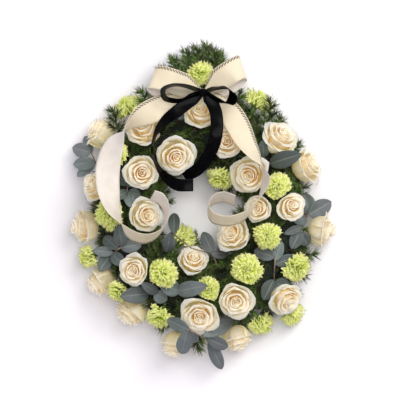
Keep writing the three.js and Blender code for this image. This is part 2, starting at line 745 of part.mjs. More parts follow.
// Fir sprays: the plan places of their tips and the tips' heights. Each has a slim core that grows
// out of the binding and needles all round it, out to the tip.
const NEEDLE_LENGTH = 22;
const NEEDLE_WIDTH = 2.2;
const NEEDLE_SPACING = 16;
const NEEDLE_SPREAD = 0.74; // how far a needle stands out sideways, for one unit of length
const TWIG_BUTT = 1.9; // radius of a twig at its root
const TWIG_TAPER = 1.1; // what it loses by its tip
const SINK = 8; // how far a twig's root is sunk in the binding
const LEAFY_LENGTH = 60; // of a twig, from its tip
const TUFT_LEAFY_LENGTH = 130; // of the long twigs at the top of the wreath

const SPRAYS = [
  [-78, 350, 70], [-60, 364, 84], [-37, 370, 66], [-14, 368, 82], [7, 370, 66], [26, 362, 80],
  [43, 348, 64], [-184, 240, 70], [-128, 268, 84], [84, 268, 84], [140, 252, 84], [172, 212, 60],
  [216, 148, 58], [228, 60, 54], [246, -86, 60], [222, -134, 58], [204, -172, 50], [150, -238, 50],
  [-8, -296, 66], [-90, -246, 60], [-180, -172, 50], [-240, 96, 60], [-58, 22, 66], [-8, -36, 62],
  [34, 46, 66], [62, 4, 62],
];

// A three-sided twig. Along it, short bands carry a needle on each side, every band turned half a
// side on from the last.
function spray(root, tip, leafy) {
  const along = tip.clone().sub(root).normalize();
  const turn = new THREE.Quaternion().setFromUnitVectors(UP, along);
  const length = root.distanceTo(tip);
  const bands = Math.max(3, Math.round(leafy / NEEDLE_SPACING));
  const points = [];
  const index = [];
  const add = (point) => points.push(point) - 1;
  const ring = (at, phase) => {
    const radius = TWIG_BUTT - (TWIG_TAPER * at) / length;
    return [0, 1, 2].map((i) => {
      const angle = phase + (i * 2 * Math.PI) / 3;
      const out = vec(Math.cos(angle) * radius, Math.sin(angle) * radius, at).applyQuaternion(turn);
      return add(out.add(root));
    });
  };
  let last = ring(0, 0);
  index.push(last[0], last[2], last[1]);
  for (let k = 0; k < bands; k++) {
    const at = length - leafy + (k * leafy) / bands;
    const phase = (k * Math.PI) / 3;
    const low = ring(at, phase);
    const high = ring(at + NEEDLE_WIDTH, phase);
    for (let i = 0; i < 3; i++) {
      const j = (i + 1) % 3;
      index.push(last[i], last[j], low[j], last[i], low[j], low[i]);
      const middle = points[low[i]].clone().add(points[low[j]]).add(points[high[j]]).divideScalar(3);
      const out = middle.clone().sub(root);
      out.addScaledVector(along, -out.dot(along)).setLength(NEEDLE_SPREAD);
      out.addScaledVector(along, Math.sqrt(1 - NEEDLE_SPREAD ** 2));
      const point = add(middle.addScaledVector(out, NEEDLE_LENGTH));
      index.push(low[i], low[j], point, low[j], high[j], point, high[j], low[i], point);
      index.push(low[i], high[j], high[i]);
    }
    last = high;
  }
  const end = add(tip.clone().addScaledVector(along, 6));
  for (let i = 0; i < 3; i++) index.push(last[i], last[(i + 1) % 3], end);
  const geometry = new THREE.BufferGeometry();
  geometry.setFromPoints(points);
  geometry.setIndex(index);
  return toSolid(geometry);
}

// Ways to seat one spray: its root is tried at seeded places near its tip's bearing, and the tip
// strays a little further from its place with each trial.
function* sprayTrials([x, y, z]) {
  const random = seeded(Math.round(1000 + x * 7 + y * 3));
  const bearing = Math.atan2(y, x);
  const side = (Math.hypot(x, y) > RING_RADIUS ? 0.16 : 0.84) * Math.PI;
  const depth = FIR_RADIUS - SINK;
  for (let trial = 0; trial < 160; trial++) {
    const loose = Math.min(1, trial / 30);
    const turn = bearing + (random() - 0.5) * (0.2 + loose);
    const angle = side + (random() - 0.5) * 0.7 * (1 + loose);
    const reach = RING_RADIUS + depth * Math.cos(angle);
    const height = STRAW_HEIGHT + depth * Math.sin(angle);
    const root = vec(reach * Math.cos(turn), reach * Math.sin(turn), height);
    const stray = () => (random() - 0.5) * 26 * loose;
    const tip = vec(x + stray(), y + stray(), z + 2 * stray());
    const leafy = Math.min(root.distanceTo(tip) - 14, y > 340 ? TUFT_LEAFY_LENGTH : LEAFY_LENGTH);
    yield { turn, line: rod(root, tip, 2.6), piece: spray(root, tip, leafy) };
  }
}

const allHoles = joined(holes);
const others = [...placed, straw, allHoles];
const lengths = firLengths.map((length) => cleaned(length.subtract(allHoles)));
const sprays = lengths.map(() => []);

// The length of binding that a bearing falls in.
function homeLength(turn) {
  const apart = lengths.map((length) => {
    const box = length.boundingBox();
    const bearing = Math.atan2(box.min[1] + box.max[1], box.min[0] + box.max[0]);
    return Math.abs(Math.atan2(Math.sin(turn - bearing), Math.cos(turn - bearing)));
  });
  return apart.indexOf(Math.min(...apart));
}

for (const place of SPRAYS) {
  for (const { turn, line, piece } of sprayTrials(place)) {
    if (hits(line, others) || hits(piece, others)) continue;
    const home = homeLength(turn);
    if (lengths.some((length, k) => k !== home && hits(piece, [length]))) continue;
    if (hits(line, sprays[home])) continue;
    const grown = cleaned(joined([lengths[home], piece]));
    if (!grown) continue;
    lengths[home] = grown;
    sprays[home].push(piece);
    break;
  }
}

// The wreath, moved so that the middle of its outline is over the origin.
const nodes = new Map([["straw_ring", straw]]);
lengths.forEach((length, k) => nodes.set(`fir_${k + 1}`, length));
for (const bloom of blooms) nodes.set(bloom.name, cleaned(bloom.solid));
branches.forEach((branch, k) => nodes.set(`eucalyptus_${k + 1}`, branch));
nodes.set("cream_ribbon", cream);
nodes.set("black_ribbon", black);

const outline = new THREE.Box3();
for (const solid of nodes.values()) {
  const box = solid.boundingBox();
  outline.expandByPoint(vec(...box.min)).expandByPoint(vec(...box.max));
}
const middle = outline.getCenter(vec(0, 0, 0));

const group = new THREE.Group();
group.name = "funeral_wreath";
for (const [name, solid] of nodes) {
  const finish = FINISHES[name.split("_")[0]];
  const mesh = new THREE.Mesh(
    toGeometry(solid).translate(-toMicrons(middle.x), -toMicrons(middle.y), 0),
    new THREE.MeshStandardMaterial({ ...finish, metalness: 0 }),
  );
  mesh.name = name;
  group.add(mesh);
}
export default group;
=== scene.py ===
# Funeral wreath lying on its back: straw ring, fir, cream roses, lime carnations, eucalyptus, and a
# cream bow and a black satin bow. Lengths are millimetres from the ring's centre, and metres in the
# studio and in the materials.
import math
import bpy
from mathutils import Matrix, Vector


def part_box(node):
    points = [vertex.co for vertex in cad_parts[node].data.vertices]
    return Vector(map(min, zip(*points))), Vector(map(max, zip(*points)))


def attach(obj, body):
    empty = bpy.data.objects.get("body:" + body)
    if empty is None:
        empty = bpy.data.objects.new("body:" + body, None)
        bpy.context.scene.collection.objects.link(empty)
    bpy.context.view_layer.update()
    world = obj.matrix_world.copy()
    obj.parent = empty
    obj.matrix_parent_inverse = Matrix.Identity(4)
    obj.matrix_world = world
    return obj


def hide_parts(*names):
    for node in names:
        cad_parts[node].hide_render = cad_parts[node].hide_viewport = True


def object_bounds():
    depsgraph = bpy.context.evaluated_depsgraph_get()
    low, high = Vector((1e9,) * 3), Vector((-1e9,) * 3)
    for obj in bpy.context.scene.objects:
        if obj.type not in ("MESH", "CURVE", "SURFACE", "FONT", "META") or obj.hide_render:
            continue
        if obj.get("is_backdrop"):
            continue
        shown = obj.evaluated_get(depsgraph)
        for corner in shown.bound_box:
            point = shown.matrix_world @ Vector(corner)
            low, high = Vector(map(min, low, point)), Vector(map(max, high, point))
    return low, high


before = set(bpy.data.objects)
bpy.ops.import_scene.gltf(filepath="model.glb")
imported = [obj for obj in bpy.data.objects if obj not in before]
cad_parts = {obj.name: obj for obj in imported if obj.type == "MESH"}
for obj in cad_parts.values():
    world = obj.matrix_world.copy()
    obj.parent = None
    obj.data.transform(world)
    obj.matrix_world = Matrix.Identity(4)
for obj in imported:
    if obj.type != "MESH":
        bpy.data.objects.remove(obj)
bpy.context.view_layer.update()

from types import SimpleNamespace

import bmesh
import bpy
import numpy as np
from mathutils import Matrix, Vector

# Straw ring: the bundle of straw that the whole wreath is built on, pressed into a round ring and
# bound with thin twine. Its back is flat, and the wreath lies on it.
RING_RADIUS = 160
STRAW_RADIUS = 36
STRAW_HEIGHT = 32
STRAW_SECTION_SIDES = 40
STRAW_RING_STEPS = 128
STALK_RELIEF = 0.7
STALK_ROWS = 20  # round the ring's section
STALK_TWIST = 9
FLAT_BACK = 1  # up to this height no stalks show
MERGE_DISTANCE = 1e-4  # corners nearer than this become one

ring_low, ring_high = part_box("straw_ring")
ring_centre = Vector(((ring_low.x + ring_high.x) / 2, (ring_low.y + ring_high.y) / 2, 0))
TO_METRES = Matrix.Translation(ring_centre) @ Matrix.Scale(0.001, 4)


def add_piece(name, mesh, finishes, node):
    """Turns a mesh in millimetres into a finished piece that stands for a node."""
    mesh.transform(TO_METRES)
    mesh.polygons.foreach_set("use_smooth", [True] * len(mesh.polygons))
    for finish in finishes:
        mesh.materials.append(finish)
    piece = bpy.data.objects.new(name, mesh)
    bpy.context.scene.collection.objects.link(piece)
    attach(piece, "root")
    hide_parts(node)
    return piece


def mesh_of(name, bm):
    """A bmesh's mesh, for which the bmesh is used up."""
    mesh = bpy.data.meshes.new(name)
    bm.to_mesh(mesh)
    bm.free()
    return mesh


def close_mesh(name, bm):
    """The mesh of a bmesh, with its doubles merged and its faces outwards."""
    bmesh.ops.remove_doubles(bm, verts=bm.verts, dist=MERGE_DISTANCE)
    bmesh.ops.recalc_face_normals(bm, faces=bm.faces)
    return mesh_of(name, bm)


class Tone:
    """A shader socket, so that what varies over a surface is written as an expression."""

    def __init__(self, tree, socket=None):
        self.tree = tree
        self.socket = socket

    def node(self, kind, settings=None, values=None, out=0):
        made = self.tree.nodes.new(kind)
        for name, setting in (settings or {}).items():
            setattr(made, name, setting)
        for key, value in (values or {}).items():
            if isinstance(value, Tone):
                self.tree.links.new(value.socket, made.inputs[key])
            else:
                made.inputs[key].default_value = value
        return Tone(self.tree, made.outputs[out])

    def maths(self, operation, other=0.0, other_first=False):
        values = {0: other, 1: self} if other_first else {0: self, 1: other}
        return self.node("ShaderNodeMath", {"operation": operation}, values)

    def __add__(self, other):
        return self.maths("ADD", other)

    def __radd__(self, other):
        return self.maths("ADD", other, True)

    def __sub__(self, other):
        return self.maths("SUBTRACT", other)

    def __rsub__(self, other):
        return self.maths("SUBTRACT", other, True)

    def __mul__(self, other):
        return self.maths("MULTIPLY", other)

    def __truediv__(self, other):
        return self.maths("DIVIDE", other)

    def clear(self, low, high):
        """0 below low and 1 above high, smoothly between."""
        values = {0: self, 1: low, 2: high, 3: 0.0, 4: 1.0}
        return self.node("ShaderNodeMapRange", {"interpolation_type": "SMOOTHSTEP"}, values)

    def tint(self, low_colour, high_colour):
        """One colour where this is 0, another where it is 1."""
        values = {0: self, 6: low_colour, 7: high_colour}
        return self.node("ShaderNodeMix", {"data_type": "RGBA"}, values, out=2)

    def attribute(self, name):
        return self.node("ShaderNodeAttribute", {"attribute_name": name}, out=2)

    def noise(self, scale, detail=3.0, place=None):
        place = place or self.node("ShaderNodeTexCoord", out=3)
        return self.node("ShaderNodeTexNoise", {}, {"Vector": place, "Scale": scale, "Detail": detail})


def paint(code):
    """A colour from its usual six-figure code."""
    parts = [int(code[k : k + 2], 16) / 255 for k in (1, 3, 5)]
    straight = [c / 12.92 if c <= 0.04045 else ((c + 0.055) / 1.055) ** 2.4 for c in parts]
    return (*straight, 1.0)


def new_finish(name, constants):
    """A material, a tone to start from, and its shader with the constants set."""
    finish = bpy.data.materials.new(name)
    finish.use_nodes = True
    shader = finish.node_tree.nodes["Principled BSDF"]
    for socket, value in constants.items():
        shader.inputs[socket].default_value = value
    return finish, Tone(finish.node_tree), shader


def feed(tone, shader, socket):
    """Lets a tone drive one of the shader's sockets."""
    tone.tree.links.new(tone.socket, shader.inputs[socket])


def emboss(height, strength, depth, shader):
    """Raises the surface by a tone, to a depth in metres."""
    bump = height.node("ShaderNodeBump", {}, {"Height": height, "Strength": strength, "Distance": depth})
    feed(bump, shader, "Normal")


straw_finish, tone, shader = new_finish("straw", {"Roughness": 0.85})
object_place = tone.node("ShaderNodeTexCoord", out=3)
stretched = tone.node("ShaderNodeMapping", {}, {"Vector": object_place, "Scale": (9.0, 9.0, 60.0)})
stalks = tone.noise(14.0, 4.0, stretched)
knots = tone.noise(120.0, 2.0)
straw_colour = stalks.clear(0.35, 0.65).tint(paint("#8a6b35"), paint("#d8bd7c"))
feed(knots.clear(0.55, 0.7).tint(straw_colour, paint("#6d522a")), shader, "Base Color")
emboss(stalks, 0.6, 0.002, shader)

bm = bmesh.new()
bmesh.ops.create_circle(bm, segments=STRAW_SECTION_SIDES, radius=STRAW_RADIUS)
bmesh.ops.rotate(bm, matrix=Matrix.Rotation(math.pi / 2, 3, "X"), verts=bm.verts)
bmesh.ops.translate(bm, vec=(RING_RADIUS, 0, STRAW_HEIGHT), verts=bm.verts)
for corner in bm.verts:
    corner.co.z = max(corner.co.z, 0)
bmesh.ops.spin(
    bm, geom=bm.verts[:] + bm.edges[:], axis=(0, 0, 1), angle=2 * math.pi,
    steps=STRAW_RING_STEPS, use_merge=True,
)
for corner in bm.verts:
    bearing = math.atan2(corner.co.y, corner.co.x)
    around = math.atan2(corner.co.z - STRAW_HEIGHT, corner.co.xy.length - RING_RADIUS)
    dent = STALK_RELIEF * (1 + math.sin(around * STALK_ROWS + bearing * STALK_TWIST)) / 2
    if corner.co.z > FLAT_BACK:
        level = math.cos(around)
        outward = Vector((math.cos(bearing) * level, math.sin(bearing) * level, math.sin(around)))
        corner.co -= outward * dent
add_piece("straw_bundle", close_mesh("straw_bundle", bm), [straw_finish], "straw_ring")

# Where the blooms stand: each head looks out of the ring on a cut stem pushed into the fir, and
# neighbouring heads press against each other, so each keeps to its own side of the plane between.
FIR_RADIUS = 52
LEAST_RISE = 0.16
STEM_DEPTH = 13
SEAT_SHARE = 0.52  # of a head's height, from its middle down to the fir
NEIGHBOUR_REACH = 1.25  # of two heads' radii together
PRESS_START = 0.7  # of the way to the plane between two heads
HEAD_GAP = 0.4
GRAZING = 1e-3  # a ray that nears a plane less than this never meets it
FREE_ROOM = 1e6  # where a ray meets no plane
ROSE_SIZE = (74, 64)
CARNATION_SIZE = (64, 52)
# x, y, width, how far it is turned to face up, how much it is raised
ROSES = [
    (-2, 212, 70, 0.4, -5), (-118, 179, 74, 0.3, 0), (-208, 172, 74, 0, 0), (-55, 124, 78, 0.3, 0),
    (-125, 89, 68, 0, -4), (52, 154, 70, 0, 0), (157, 159, 78, 0, 0), (100, 87, 82, 0.3, -5),
    (214, 102, 74, 0, 0), (-216, 60, 64, 0, 0), (-242, -23, 74, 0, 0), (-118, 2, 70, 0.6, 0),
    (119, 16, 60, 0.5, 0), (182, 20, 60, 0, 0), (247, -32, 74, 0, 0), (67, -38, 74, 1.1, 25),
    (-20, -94, 64, 0.8, 0), (-139, -111, 62, 0, 0), (-208, -137, 74, 0, 0), (-147, -199, 74, 0, 0),
    (-5, -203, 80, 0.8, 0), (69, -172, 74, 0.3, 0), (172, -170, 72, 0.3, 38), (74, -254, 68, 0, 0),
    (-56, -266, 66, 0, 0),
]
CARNATIONS = [
    (-152, 223, 64, 0, 0), (-2, 292, 60, 0.9, 30), (114, 235, 64, 0, 0), (-177, 125, 58, 0, 0),
    (-190, 4, 66, 0, 0), (-232, -84, 56, 0, 0), (42, 83, 58, 0, 0), (155, 61, 62, 0, 0),
    (136, -40, 60, 0, 0), (93, -111, 70, 0, 0), (193, -108, 62, 0, 0), (-38, -48, 56, 0, 0),
    (-82, -118, 66, 0, 0), (14, -152, 54, 0, 0), (-172, -155, 48, 0, 30), (-87, -207, 58, 0, 0),
    (119, -223, 62, 0, 0), (186, -205, 54, 0, -16), (24, -243, 50, 0, -6),
]


def unit(vector):
    return vector / np.linalg.norm(vector)


def seat(bloom, size):
    """Where a bloom's head and stem lie, and how the head is turned."""
    x, y, width, face, lift = bloom
    height = size[1] * (0.5 + width / size[0] / 2)
    reach = math.hypot(x, y)
    outward = np.array([x / reach, y / reach, 0])
    offset = reach - RING_RADIUS
    distance = max(FIR_RADIUS + 1 + height * SEAT_SHARE, abs(offset) / math.cos(LEAST_RISE))
    rise = math.sqrt(distance**2 - offset**2) + lift
    core = outward * RING_RADIUS + [0, 0, STRAW_HEIGHT]
    centre = outward * reach + [0, 0, STRAW_HEIGHT + rise]
    axis = unit(unit(centre - core) + np.array([0, 0, face]))
    base = centre - axis * height / 2
    stem_end = core + unit(base - core) * (FIR_RADIUS - STEM_DEPTH)
    turn = Vector((0, 0, 1)).rotation_difference(Vector(axis)).to_matrix()
    return SimpleNamespace(
        width=width, height=height, radius=width / 2, centre=centre, axis=axis, base=base,
        stem_end=stem_end, turn=np.array(turn),
    )


roses = [seat(bloom, ROSE_SIZE) for bloom in ROSES]
carnations = [seat(bloom, CARNATION_SIZE) for bloom in CARNATIONS]
heads = roses + carnations
for head in heads:
    normals, limits = [], []
    for other in heads:
        gap = np.linalg.norm(other.centre - head.centre)
        if other is not head and gap <= NEIGHBOUR_REACH * (head.radius + other.radius):
            normals.append((other.centre - head.centre) / gap)
            limits.append(gap * head.radius / (head.radius + other.radius) - HEAD_GAP / 2)
    head.wall_normals = np.array(normals).reshape(-1, 3)
    head.wall_limits = np.array(limits)


def pressed(points, head):
    """Points of a head, drawn in where they near the plane to a neighbouring head."""
    ray = points - head.centre
    length = np.maximum(np.linalg.norm(ray, axis=1), 1e-6)
    facing = (ray / length[:, None]) @ head.wall_normals.T
    room = np.where(facing > GRAZING, head.wall_limits / np.maximum(facing, GRAZING), FREE_ROOM)
    room = room.min(axis=1, initial=FREE_ROOM)
    part = length / room
    squeezed = 1 - np.exp(-np.maximum(part - PRESS_START, 0) / (1 - PRESS_START))
    kept = np.where(part > PRESS_START, (PRESS_START + (1 - PRESS_START) * squeezed) * room, length)
    return head.centre + ray * (kept / length)[:, None]


# Fir: short cut twigs wired round the straw in four lengths, so thick that no straw shows from
# above. Their butts make a rough layer, painted near black: the fir's own dark green deepened with
# painted shade from deep among the twigs. Flat dark green needles stand out all round.
FIR_CUTS = {"fir_1": 234, "fir_2": 144, "fir_3": 54, "fir_4": -36}
FIR_CORE_THICKNESS = 12
BED_DEPTH = 2  # how far the butts' layer stays inside the binding's outside
BED_OVERHANG = 0.6  # how far round the ring's sides it goes past level, in radians
BED_STEPS = (12, 30)  # round the section, along the ring
BED_ROUGHNESS = 0.09
CUT_GAP = 0.003  # left at each end of a length, in radians
BARE_TIP = 8  # the last needles stand this far before a twig's tip and point past it
NEEDLE_LENGTH = 20
NEEDLE_WIDTH = 3.1
NEEDLE_SPACING = (0.75, 0.85)  # on the long twigs, on side twigs and sprigs
LONG_TWIG_RADIUS = 1.6
SIDE_TWIG_RADIUS = 0.9
SPRIG_RADIUS = 1.0
TWIG_TAPER = 0.5  # a twig's radius at its tip, as a share of its butt's
LEAFY_IN_TUFT = 150  # length with needles, from the tip
LEAFY_LONG_TWIG = 75
LEAFY_SPRIG = 60
TUFT_START = 295  # the y past which a twig's tip is in the tuft over the bow
FIRST_SIDE_TWIG = 14.0  # before the tip
TWIGS_A_LENGTH = 300  # long twigs, side twigs and sprigs together
MOST_TRIES = 5000
SPRIG_SEAT = 7  # how deep in the binding a sprig starts
SPRIG_LEVELS = (10, 97)
SIDE_TWIG_ROOM = 0.9  # share of a head's radius that these stay out of
SPRIG_ROOM = 0.86
NEEDLE_ROOM = 0.88
NEEDLE_FLOOR = 3
NEEDLE_CEILING = 104
BOW_START = 225  # the y past which needles may stand higher
FIR_USUAL_REACH = 234
FIR_REACH = [(-72, -38, 262), (25, 82, 264), (98, 150, 262)]  # between two bearings, how far out
LEAF_CLEARANCE = 11  # plan room round a eucalyptus leaf's corners that needles stay below
LEAF_UNDERSIDE = 5  # how far under such a corner that room starts
BUD_RADIUS = 1.7
BUD_TIP_RADIUS = 0.5
BUD_LENGTH = 6
TWIGS_A_BUD = 11
# The long twigs of each length: where each leaves the binding and where its tip is.
LONG_TWIGS = {
    "fir_1": [
        ((150, -134, 48), (202, -170, 50)), ((-9, -193, 61), (-9, -286, 62)),
        ((-48, -198, 39), (-90, -241, 50)), ((-37, -117, 55), (-8, -37, 40)),
        ((112, -150, 40), (140, -214, 18)), ((88, -166, 40), (104, -232, 18)),
        ((128, -138, 40), (160, -206, 16)), ((60, -186, 36), (90, -240, 14)),
        ((104, -150, 50), (120, -196, 48)),
    ],
    "fir_2": [
        ((-143, -137, 50), (-174, -176, 40)), ((-167, 91, 64), (-230, 92, 60)),
        ((-166, 142, 52), (-187, 228, 82)), ((-114, 48, 57), (-60, 23, 66)),
    ],
    "fir_3": [
        ((-48, 188, 60), (-84, 313, 68)), ((-19, 197, 54), (-62, 334, 80)),
        ((-9, 202, 45), (-34, 350, 66)), ((20, 200, 40), (-14, 356, 76)),
        ((34, 198, 30), (6, 362, 60)), ((37, 199, 43), (26, 352, 77)),
        ((39, 184, 66), (38, 344, 67)), ((-90, 176, 54), (-128, 266, 82)),
        ((53, 188, 59), (84, 266, 82)), ((130, 150, 50), (170, 209, 60)),
        ((78, 165, 40), (102, 226, 14)), ((94, 148, 40), (122, 212, 16)),
        ((66, 178, 40), (86, 244, 18)), ((-60, 180, 50), (-98, 232, 56)),
        ((88, 154, 48), (106, 196, 46)),
    ],
    "fir_4": [
        ((139, 144, 51), (142, 246, 90)), ((158, 125, 47), (211, 148, 58)),
        ((196, 55, 41), (226, 60, 54)), ((176, -70, 65), (241, -85, 59)),
        ((173, -94, 56), (217, -134, 55)), ((85, 79, 31), (33, 49, 51)),
        ((120, -1, 50), (64, 4, 61)),
    ],
}
OPENING = ((-50, -19), (13, 52))  # what stays clear in the middle, seen from above
OPENING_MARGIN = 8  # how far sprigs stay off it


def shape_of(bm):
    """Corners and faces of a small shape that is copied many times."""
    bm.verts.index_update()
    corners = np.array([corner.co for corner in bm.verts])
    faces = np.array([[corner.index for corner in face.verts] for face in bm.faces])
    bm.free()
    return corners, faces


def gather(name, corners, faces, tones):
    """One mesh of many copies, whose corners are (copies, corners of the shape, 3)."""
    copies, count = corners.shape[:2]
    sides = faces.shape[1]
    corner_of_loop = (faces[None] + np.arange(copies)[:, None, None] * count).ravel()
    mesh = bpy.data.meshes.new(name)
    mesh.vertices.add(copies * count)
    mesh.vertices.foreach_set("co", corners.astype(np.float32).ravel())
    mesh.loops.add(len(corner_of_loop))
    mesh.loops.foreach_set("vertex_index", corner_of_loop.astype(np.int32))
    mesh.polygons.add(copies * len(faces))
    starts = np.arange(copies * len(faces), dtype=np.int32) * sides
    mesh.polygons.foreach_set("loop_start", starts)
    mesh.update(calc_edges=True)
    for tone_name, values in tones.items():
        layer = mesh.attributes.new(tone_name, "FLOAT", "POINT")
        every = np.broadcast_to(values, (copies, count)).astype(np.float32)
        layer.data.foreach_set("value", every.ravel())
    return mesh


fir_finish, tone, shader = new_finish("fir_needles", {"Roughness": 0.42, "Specular IOR Level": 0.45})
fresh = tone.attribute("fresh")
toward_tip = tone.attribute("toward_tip")
patch = tone.noise(24.0, 2.0)
needle_green = (fresh * 1.1 + patch * 0.5 - 0.4).clear(0.0, 1.0).tint(paint("#0b1806"), paint("#5c8031"))
needle_green = (toward_tip * 0.35).tint(needle_green, paint("#95aa62"))
feed(needle_green, shader, "Base Color")
feed(0.26 + patch * 0.2, shader, "Roughness")

bark_finish, tone, shader = new_finish("fir_bark", {"Roughness": 0.9})
grain = tone.noise(300.0, 4.0)
feed(grain.clear(0.35, 0.65).tint(paint("#2a1c10"), paint("#5a4426")), shader, "Base Color")
emboss(grain, 0.7, 0.002, shader)

bud_finish, tone, shader = new_finish("fir_bud", {"Roughness": 0.6})
scales = tone.noise(400.0, 2.0)
feed(scales.clear(0.35, 0.65).tint(paint("#3e2616"), paint("#74503a")), shader, "Base Color")

# The butts' layer is painted near black: the fir's dark green deepened with painted shade, as it lies deep
# under the needles.
bed_finish, tone, shader = new_finish("fir_bed", {"Roughness": 0.85})
tangle = tone.noise(160.0, 5.0)
feed(tangle.clear(0.4, 0.62).tint(paint("#060b04"), paint("#172611")), shader, "Base Color")
emboss(tangle, 0.9, 0.003, shader)

bm = bmesh.new()
bmesh.ops.create_cone(bm, cap_ends=True, segments=3, radius1=1, radius2=0, depth=1)
bmesh.ops.translate(bm, vec=(0, 0, 0.5), verts=bm.verts)
bmesh.ops.remove_doubles(bm, verts=bm.verts, dist=MERGE_DISTANCE)
needle_corners, needle_faces = shape_of(bm)


def ring_point(bearing, around, radius):
    """A point at a bearing of the ring, round its section and out from its core."""
    reach = RING_RADIUS + radius * math.cos(around)
    height = STRAW_HEIGHT + radius * math.sin(around)
    return np.array([reach * math.cos(bearing), reach * math.sin(bearing), height])


def add_rod(bm, start, end, start_radius, end_radius, sides, finish):
    """A tapered round stem between two points, in one of the piece's finishes."""
    start, end = Vector(start), Vector(end)
    turn = (end - start).to_track_quat("Z", "Y").to_matrix().to_4x4()
    made = bmesh.ops.create_cone(
        bm, cap_ends=True, segments=sides, radius1=start_radius, radius2=end_radius,
        depth=(end - start).length, matrix=Matrix.Translation((start + end) / 2) @ turn,
    )
    for face in {face for corner in made["verts"] for face in corner.link_faces}:
        face.material_index = finish


def inside_heads(points, share):
    """Which of these points lie inside a bloom's head, taken as a ball."""
    inside = np.zeros(len(points), bool)
    for head in heads:
        inside |= np.linalg.norm(points - head.centre, axis=1) < head.radius * share
    return inside


def over_opening(points, margin):
    """Which of these points lie over the opening or within a margin of it."""
    low, high = np.array(OPENING)
    return ((points[:, :2] > low - margin) & (points[:, :2] < high + margin)).all(axis=1)


def twig_needles(root, tip, leafy, spacing, random):
    """The foot, direction, direction of width and length of each needle of one twig."""
    axis = unit(tip - root)
    twig_length = np.linalg.norm(tip - root)
    leafy = min(leafy, twig_length * 0.92)
    count = max(6, int(leafy / spacing))
    share = 1 - BARE_TIP / twig_length - (np.arange(count) / count) * (leafy - BARE_TIP) / twig_length
    feet = root + (tip - root) * share[:, None]
    side = unit(np.cross(axis, [0.13, 0.31, 0.94]))
    up = np.cross(side, axis)
    turn = random.choice([0, math.pi], count) + random.normal(0, 0.5, count)
    turn = np.where(np.sin(turn) < -0.5, -turn, turn)
    out = np.cos(turn)[:, None] * side + np.sin(turn)[:, None] * up
    lean = np.clip((1 - share) * twig_length / 22, 0.3, 1) * 0.95 + random.uniform(-0.14, 0.14, count)
    ahead = axis * np.cos(lean)[:, None] + out * np.sin(lean)[:, None]
    across = np.cross(ahead, axis)
    across /= np.linalg.norm(across, axis=1)[:, None]
    long = NEEDLE_LENGTH * random.uniform(0.78, 1.12, count)
    return feet, ahead, across, long


def packed_corners(node):
    """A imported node's corners, in millimetres from the ring's centre."""
    corners = np.array([corner.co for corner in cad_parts[node].data.vertices])
    return (corners - np.array(ring_centre)) * 1000


leaf_corners = np.concatenate([packed_corners(f"eucalyptus_{k}") for k in range(1, 10)])
leaf_corners = np.unique(np.round(leaf_corners, 1), axis=0)


def over_leaves(points):
    """Which of these points would lie on a eucalyptus leaf or cover it."""
    over = np.zeros(len(points), bool)
    for k in range(0, len(leaf_corners), 100):
        some = leaf_corners[k : k + 100]
        near = np.hypot(points[:, :1] - some[:, 0], points[:, 1:2] - some[:, 1]) < LEAF_CLEARANCE
        over |= (near & (points[:, 2:] > some[:, 2] - LEAF_UNDERSIDE)).any(axis=1)
    return over


